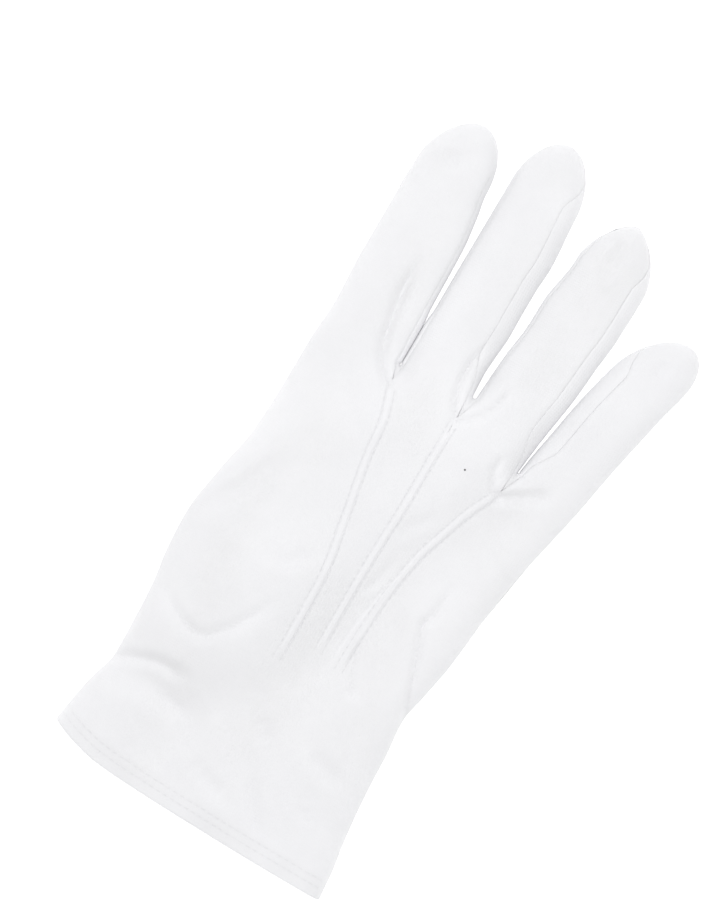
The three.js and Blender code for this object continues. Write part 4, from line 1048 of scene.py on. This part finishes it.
# ---- Thumb ----
# The thumb's pocket, cut from the same cotton, folded flat in under the palm and set into the palm's oval hole.
# It rests on the table, and its upper wall has the same oval hole.
def thumb_skin(inset):
    """The upper and lower skins of the leaf, inset from the outermost ones."""
    rows = round(THUMB_LENGTH / (STEP * 1.1))
    along = THUMB_LENGTH * (1 - np.cos(np.pi * np.linspace(0, 1, rows + 1))) / 2
    across = (1 - np.cos(np.pi * np.linspace(0, 1, 49))) / 2
    left, right = thumb_edge(-1, along), thumb_edge(1, along)
    x, y = thumb_point(along[:, None], mix(left[:, None], right[:, None], across))
    outer = {}
    for over in (1, -1):
        rounding = 8 if over > 0 else ROUNDING_BELOW
        grid = places(x, y, over, line=THUMB_OUTLINE)
        step = np.gradient(np.stack([x, y], axis=-1), axis=0)
        long = np.maximum(np.linalg.norm(step, axis=-1), 1e-9)
        for column, side in ((0, 1), (-1, -1)):
            grid[:, column, 3] = side * step[:, column, 1] / long[:, column]
            grid[:, column, 4] = -side * step[:, column, 0] / long[:, column]
            grid[:, column, 2] = 0
        for row, way in ((0, 1), (-1, -1)):
            grid[row, :, 2:5] = (0, way * math.sin(THUMB_LEAN), way * math.cos(THUMB_LEAN))
        shift = inset * np.maximum(0, 1 - grid[..., 2] / rounding)
        half = thumb_height(grid[..., 0].ravel(), grid[..., 1].ravel()).reshape(x.shape) / 2
        z = half + over * (half - inset) * share_at(grid[..., 2], rounding)
        outer[over] = np.stack([grid[..., 0] + grid[..., 3] * shift, grid[..., 1] + grid[..., 4] * shift, z], axis=-1)
    return outer, x.shape


def thumb_mesh():
    """The leaf's outer skin with its relief, and its inner skin turned inside out."""
    points, faces, uvs, total = [], [], [], 0
    for layer, inset in enumerate((0, WALL)):
        found, shape = thumb_skin(inset)
        cloth = Cloth()
        for over in (1, -1):
            chart = found[over][..., :2].reshape(-1, 2) / 1000
            cloth.patch(found[over].reshape(-1, 3), found[over].reshape(-1, 3), chart, shape, over < 0)
        cloth.weld()
        raised = cloth.points
        if layer == 0:
            seam = Line(found[1][:, -1])
            relief = seam_relief(cloth.points, seam, 0.35, 0.12)
            free = ease(cloth.points[:, 2], 0.25, 1.4)
            relief = relief * free + free * 0.15 * flow(cloth.points, 12, 6.6)
            raised = cloth.points + cloth.normals * relief[:, None]
        for face, chart in zip(cloth.faces.tolist(), cloth.flat_corner.tolist()):
            kept = [k for k in range(4) if face[k] != face[k - 1]]
            if layer:
                kept = kept[::-1]
            faces.append([face[k] + total for k in kept])
            uvs.append([chart[k] for k in kept])
        points.append(raised)
        total += len(raised)
    made = bpy.data.meshes.new("thumb")
    made.from_pydata(((np.concatenate(points) + ROW_FRAME) / 1000).tolist(), [], faces)
    layer = made.uv_layers.new(name="cloth")
    layer.data.foreach_set("uv", np.array([uv for face in uvs for uv in face]).ravel())
    made.polygons.foreach_set("use_smooth", [True] * len(made.polygons))
    return made


thumb = cloth_piece("thumb_cloth", "thumb", cut_oval(thumb_mesh(), THUMB_HEIGHT / 2, 30), cotton)


# ---- Hem ----
# The cuff's edge is turned in once and held by two rows of stitches, so a band of cloth lies just inside the mouth.
HEM_DEPTH = 7.2


def hem_mesh():
    """The turned band, one ring of cloth inside the back's and the palm's."""
    shares = np.linspace(0.0012, HEM_DEPTH / (CUFF_LENGTH + HAND_LENGTH), 7)
    rings = {1: [], -1: []}
    for over in (1, -1):
        for quarter in range(4):
            ax, ay = divider(quarter, shares)
            bx, by = divider(quarter + 1, shares)
            width = np.hypot(bx - ax, by - ay)
            ex, ey = (ax, ay) if quarter == 0 else (bx, by)
            _, above, below = body(ex, ey)
            across = hand_shares(quarter, width, over, above if over > 0 else below)
            x, y = row_place((ax, ay), (bx, by), across, shares)
            grid = places(x, y, over)
            if quarter in (0, 3):
                column = 0 if quarter == 0 else -1
                way = 1 if quarter == 0 else -1
                grid[:, column] = np.stack([ex, ey, 0 * ex, 0 * ex + way, 0 * ex, 0 * ex], axis=1)
            rings[over].append(grid if quarter == 0 else grid[:, 1:])
    cloth = Cloth()
    for over in (1, -1):
        grid = np.concatenate(rings[over], axis=1)
        cloth.patch(skin(grid, over, WALL + 0.35), skin(grid, over, 2 * WALL + 0.3), stretched(grid, over),
                    grid.shape[:2], over < 0)
    cloth.weld()
    return cloth.mesh("cuff_hem", np.zeros(len(cloth.points)))


hem = cloth_piece("turned_hem", "cuff_hem", hem_mesh(), cotton)


# ---- Stitches ----
# Every raised point has a row of fine stitches at its foot on each side, and two rows hold the hem. The thread is white
# cotton, 0.16 mm thick, and each stitch dips into the cloth at both ends.
STITCH = dict(length=1.9, pitch=2.6, thread=0.16, rise=0.07)
FOOT = 1.45
HEM_ROWS = (3.7, 6.3)


def thread_cotton():
    """Sewing thread: matt white cotton, twisted too finely to see."""
    made = bpy.data.materials.new("white sewing thread")
    made.use_nodes = True
    surface = made.node_tree.nodes["Principled BSDF"]
    surface.inputs["Base Color"].default_value = colour("#e6e6e8")
    surface.inputs["Roughness"].default_value = 0.8
    surface.inputs["Specular IOR Level"].default_value = 0.25
    return made


def stitch_tree():
    """Sets one stitch after another along every line of a mesh that carries its cloth's normal in up."""
    tree = bpy.data.node_groups.new("row of stitches", "GeometryNodeTree")
    tree.interface.new_socket("Geometry", in_out="INPUT", socket_type="NodeSocketGeometry")
    for name in ("Stitch Length", "Pitch", "Thread", "Rise"):
        tree.interface.new_socket(name, in_out="INPUT", socket_type="NodeSocketFloat")
    tree.interface.new_socket("Material", in_out="INPUT", socket_type="NodeSocketMaterial")
    tree.interface.new_socket("Geometry", in_out="OUTPUT", socket_type="NodeSocketGeometry")
    given = add(tree, "NodeGroupInput").outputs
    rows = add(tree, "GeometryNodeMeshToCurve", inputs={"Mesh": given["Geometry"]})
    spaced_rows = add(tree, "GeometryNodeResampleCurve", {"mode": "LENGTH"},
                      {"Curve": rows.outputs[0], "Length": given["Pitch"]})
    half = reckon(tree, "MULTIPLY", given["Stitch Length"], 0.5)
    dip = reckon(tree, "MULTIPLY", given["Rise"], -0.6)
    first = add(tree, "ShaderNodeCombineXYZ", inputs={"X": reckon(tree, "MULTIPLY", half, -1.0), "Z": dip})
    crown = add(tree, "ShaderNodeCombineXYZ", inputs={"Z": given["Rise"]})
    last = add(tree, "ShaderNodeCombineXYZ", inputs={"X": half, "Z": dip})
    arc = add(tree, "GeometryNodeCurveQuadraticBezier",
              inputs={"Resolution": 5, "Start": first.outputs[0], "Middle": crown.outputs[0], "End": last.outputs[0]})
    radius = reckon(tree, "MULTIPLY", given["Thread"], 0.5)
    ring = add(tree, "GeometryNodeCurvePrimitiveCircle", inputs={"Resolution": 6, "Radius": radius})
    stitch = add(tree, "GeometryNodeCurveToMesh",
                 inputs={"Curve": arc.outputs[0], "Profile Curve": ring.outputs[0], "Fill Caps": True})
    up = add(tree, "GeometryNodeInputNamedAttribute", {"data_type": "FLOAT_VECTOR"}, {"Name": "up"})
    tangent = add(tree, "GeometryNodeInputTangent")
    upright = add(tree, "FunctionNodeAlignRotationToVector", {"axis": "Z"}, {"Vector": up.outputs["Attribute"]})
    facing = add(tree, "FunctionNodeAlignRotationToVector", {"axis": "X", "pivot_axis": "Z"},
                 {"Rotation": upright.outputs[0], "Vector": tangent.outputs[0]})
    placed = add(tree, "GeometryNodeInstanceOnPoints", inputs={
        "Points": spaced_rows.outputs[0], "Instance": stitch.outputs[0], "Rotation": facing.outputs[0]})
    real = add(tree, "GeometryNodeRealizeInstances", inputs={"Geometry": placed.outputs[0]})
    coloured = add(tree, "GeometryNodeSetMaterial", inputs={"Geometry": real.outputs[0], "Material": given["Material"]})
    leaving = add(tree, "NodeGroupOutput")
    tree.links.new(coloured.outputs[0], leaving.inputs["Geometry"])
    return tree


def on_cloth(cloth, relief, wanted):
    """The places of a cloth's outer skin nearest to places of the plan, each a mean of the nearest few, and normals."""
    raised = cloth.points + cloth.normals * relief[:, None]
    tree = kdtree.KDTree(len(raised))
    for k, (x, y, _) in enumerate(raised):
        tree.insert((x, y, 0), k)
    tree.balance()
    points, normals = [], []
    for x, y in wanted:
        found = tree.find_n((x, y, 0), 4)
        weight = np.array([1 / (far + 0.05) for _, _, far in found])
        weight /= weight.sum()
        near = [k for _, k, _ in found]
        points.append((x, y, float(weight @ raised[near, 2])))
        normals.append(weight @ cloth.normals[near])
    return np.array(points), np.array(normals)


def stitch_piece(name, rows):
    """One piece of stitches along rows, each of which is its points and its normals."""
    made = bpy.data.meshes.new(name)
    counts = [len(points) for points, _ in rows]
    starts = np.cumsum([0] + counts)
    edges = [(start + k, start + k + 1) for start, count in zip(starts, counts) for k in range(count - 1)]
    made.from_pydata(((np.concatenate([points for points, _ in rows]) + ROW_FRAME) / 1000).tolist(), edges, [])
    up = made.attributes.new("up", "FLOAT_VECTOR", "POINT")
    up.data.foreach_set("vector", np.concatenate([normals for _, normals in rows]).ravel())
    guide = new_object(name + " rows", made)
    modifier = guide.modifiers.new("stitches", "NODES")
    modifier.node_group = row_of_stitches
    given = {"Stitch Length": STITCH["length"] / 1000, "Pitch": STITCH["pitch"] / 1000,
             "Thread": STITCH["thread"] / 1000, "Rise": STITCH["rise"] / 1000, "Material": thread}
    for item in row_of_stitches.interface.items_tree:
        if item.item_type == "SOCKET" and item.in_out == "INPUT" and item.name in given:
            modifier[item.identifier] = given[item.name]
    finished = bpy.data.meshes.new_from_object(guide.evaluated_get(bpy.context.evaluated_depsgraph_get()))
    guide.modifiers.clear()
    bpy.data.objects.remove(guide)
    finished.name = name
    piece = new_object(name, finished)
    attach(piece, "root")
    return piece


thread = thread_cotton()
row_of_stitches = stitch_tree()
rows = []
for line, low in zip((1, 2, 3), POINT_LOW_ENDS):
    course = point_course(line)
    top = CROTCHES[line - 1]["joint"][1]
    course = course[(course[:, 1] > low + 3) & (course[:, 1] < top - 4)]
    away = np.gradient(course, axis=0)
    away = np.stack([away[:, 1], -away[:, 0]], axis=1) / np.linalg.norm(away, axis=1)[:, None]
    for side in (-1, 1):
        rows.append(on_cloth(back_cloth, back_relief, course + side * FOOT * away))
stitch_piece("point_stitches", rows)

rows = []
for cloth, relief in ((back_cloth, back_relief), (palm_cloth, palm_relief)):
    for deep in HEM_ROWS:
        across = np.linspace(side_edge(-1, -44) + 2.5, side_edge(1, -44) - 2.5, 240)
        rows.append(on_cloth(cloth, relief, np.stack([across, mouth_y(across) + deep], axis=1)))
stitch_piece("hem_stitches", rows)
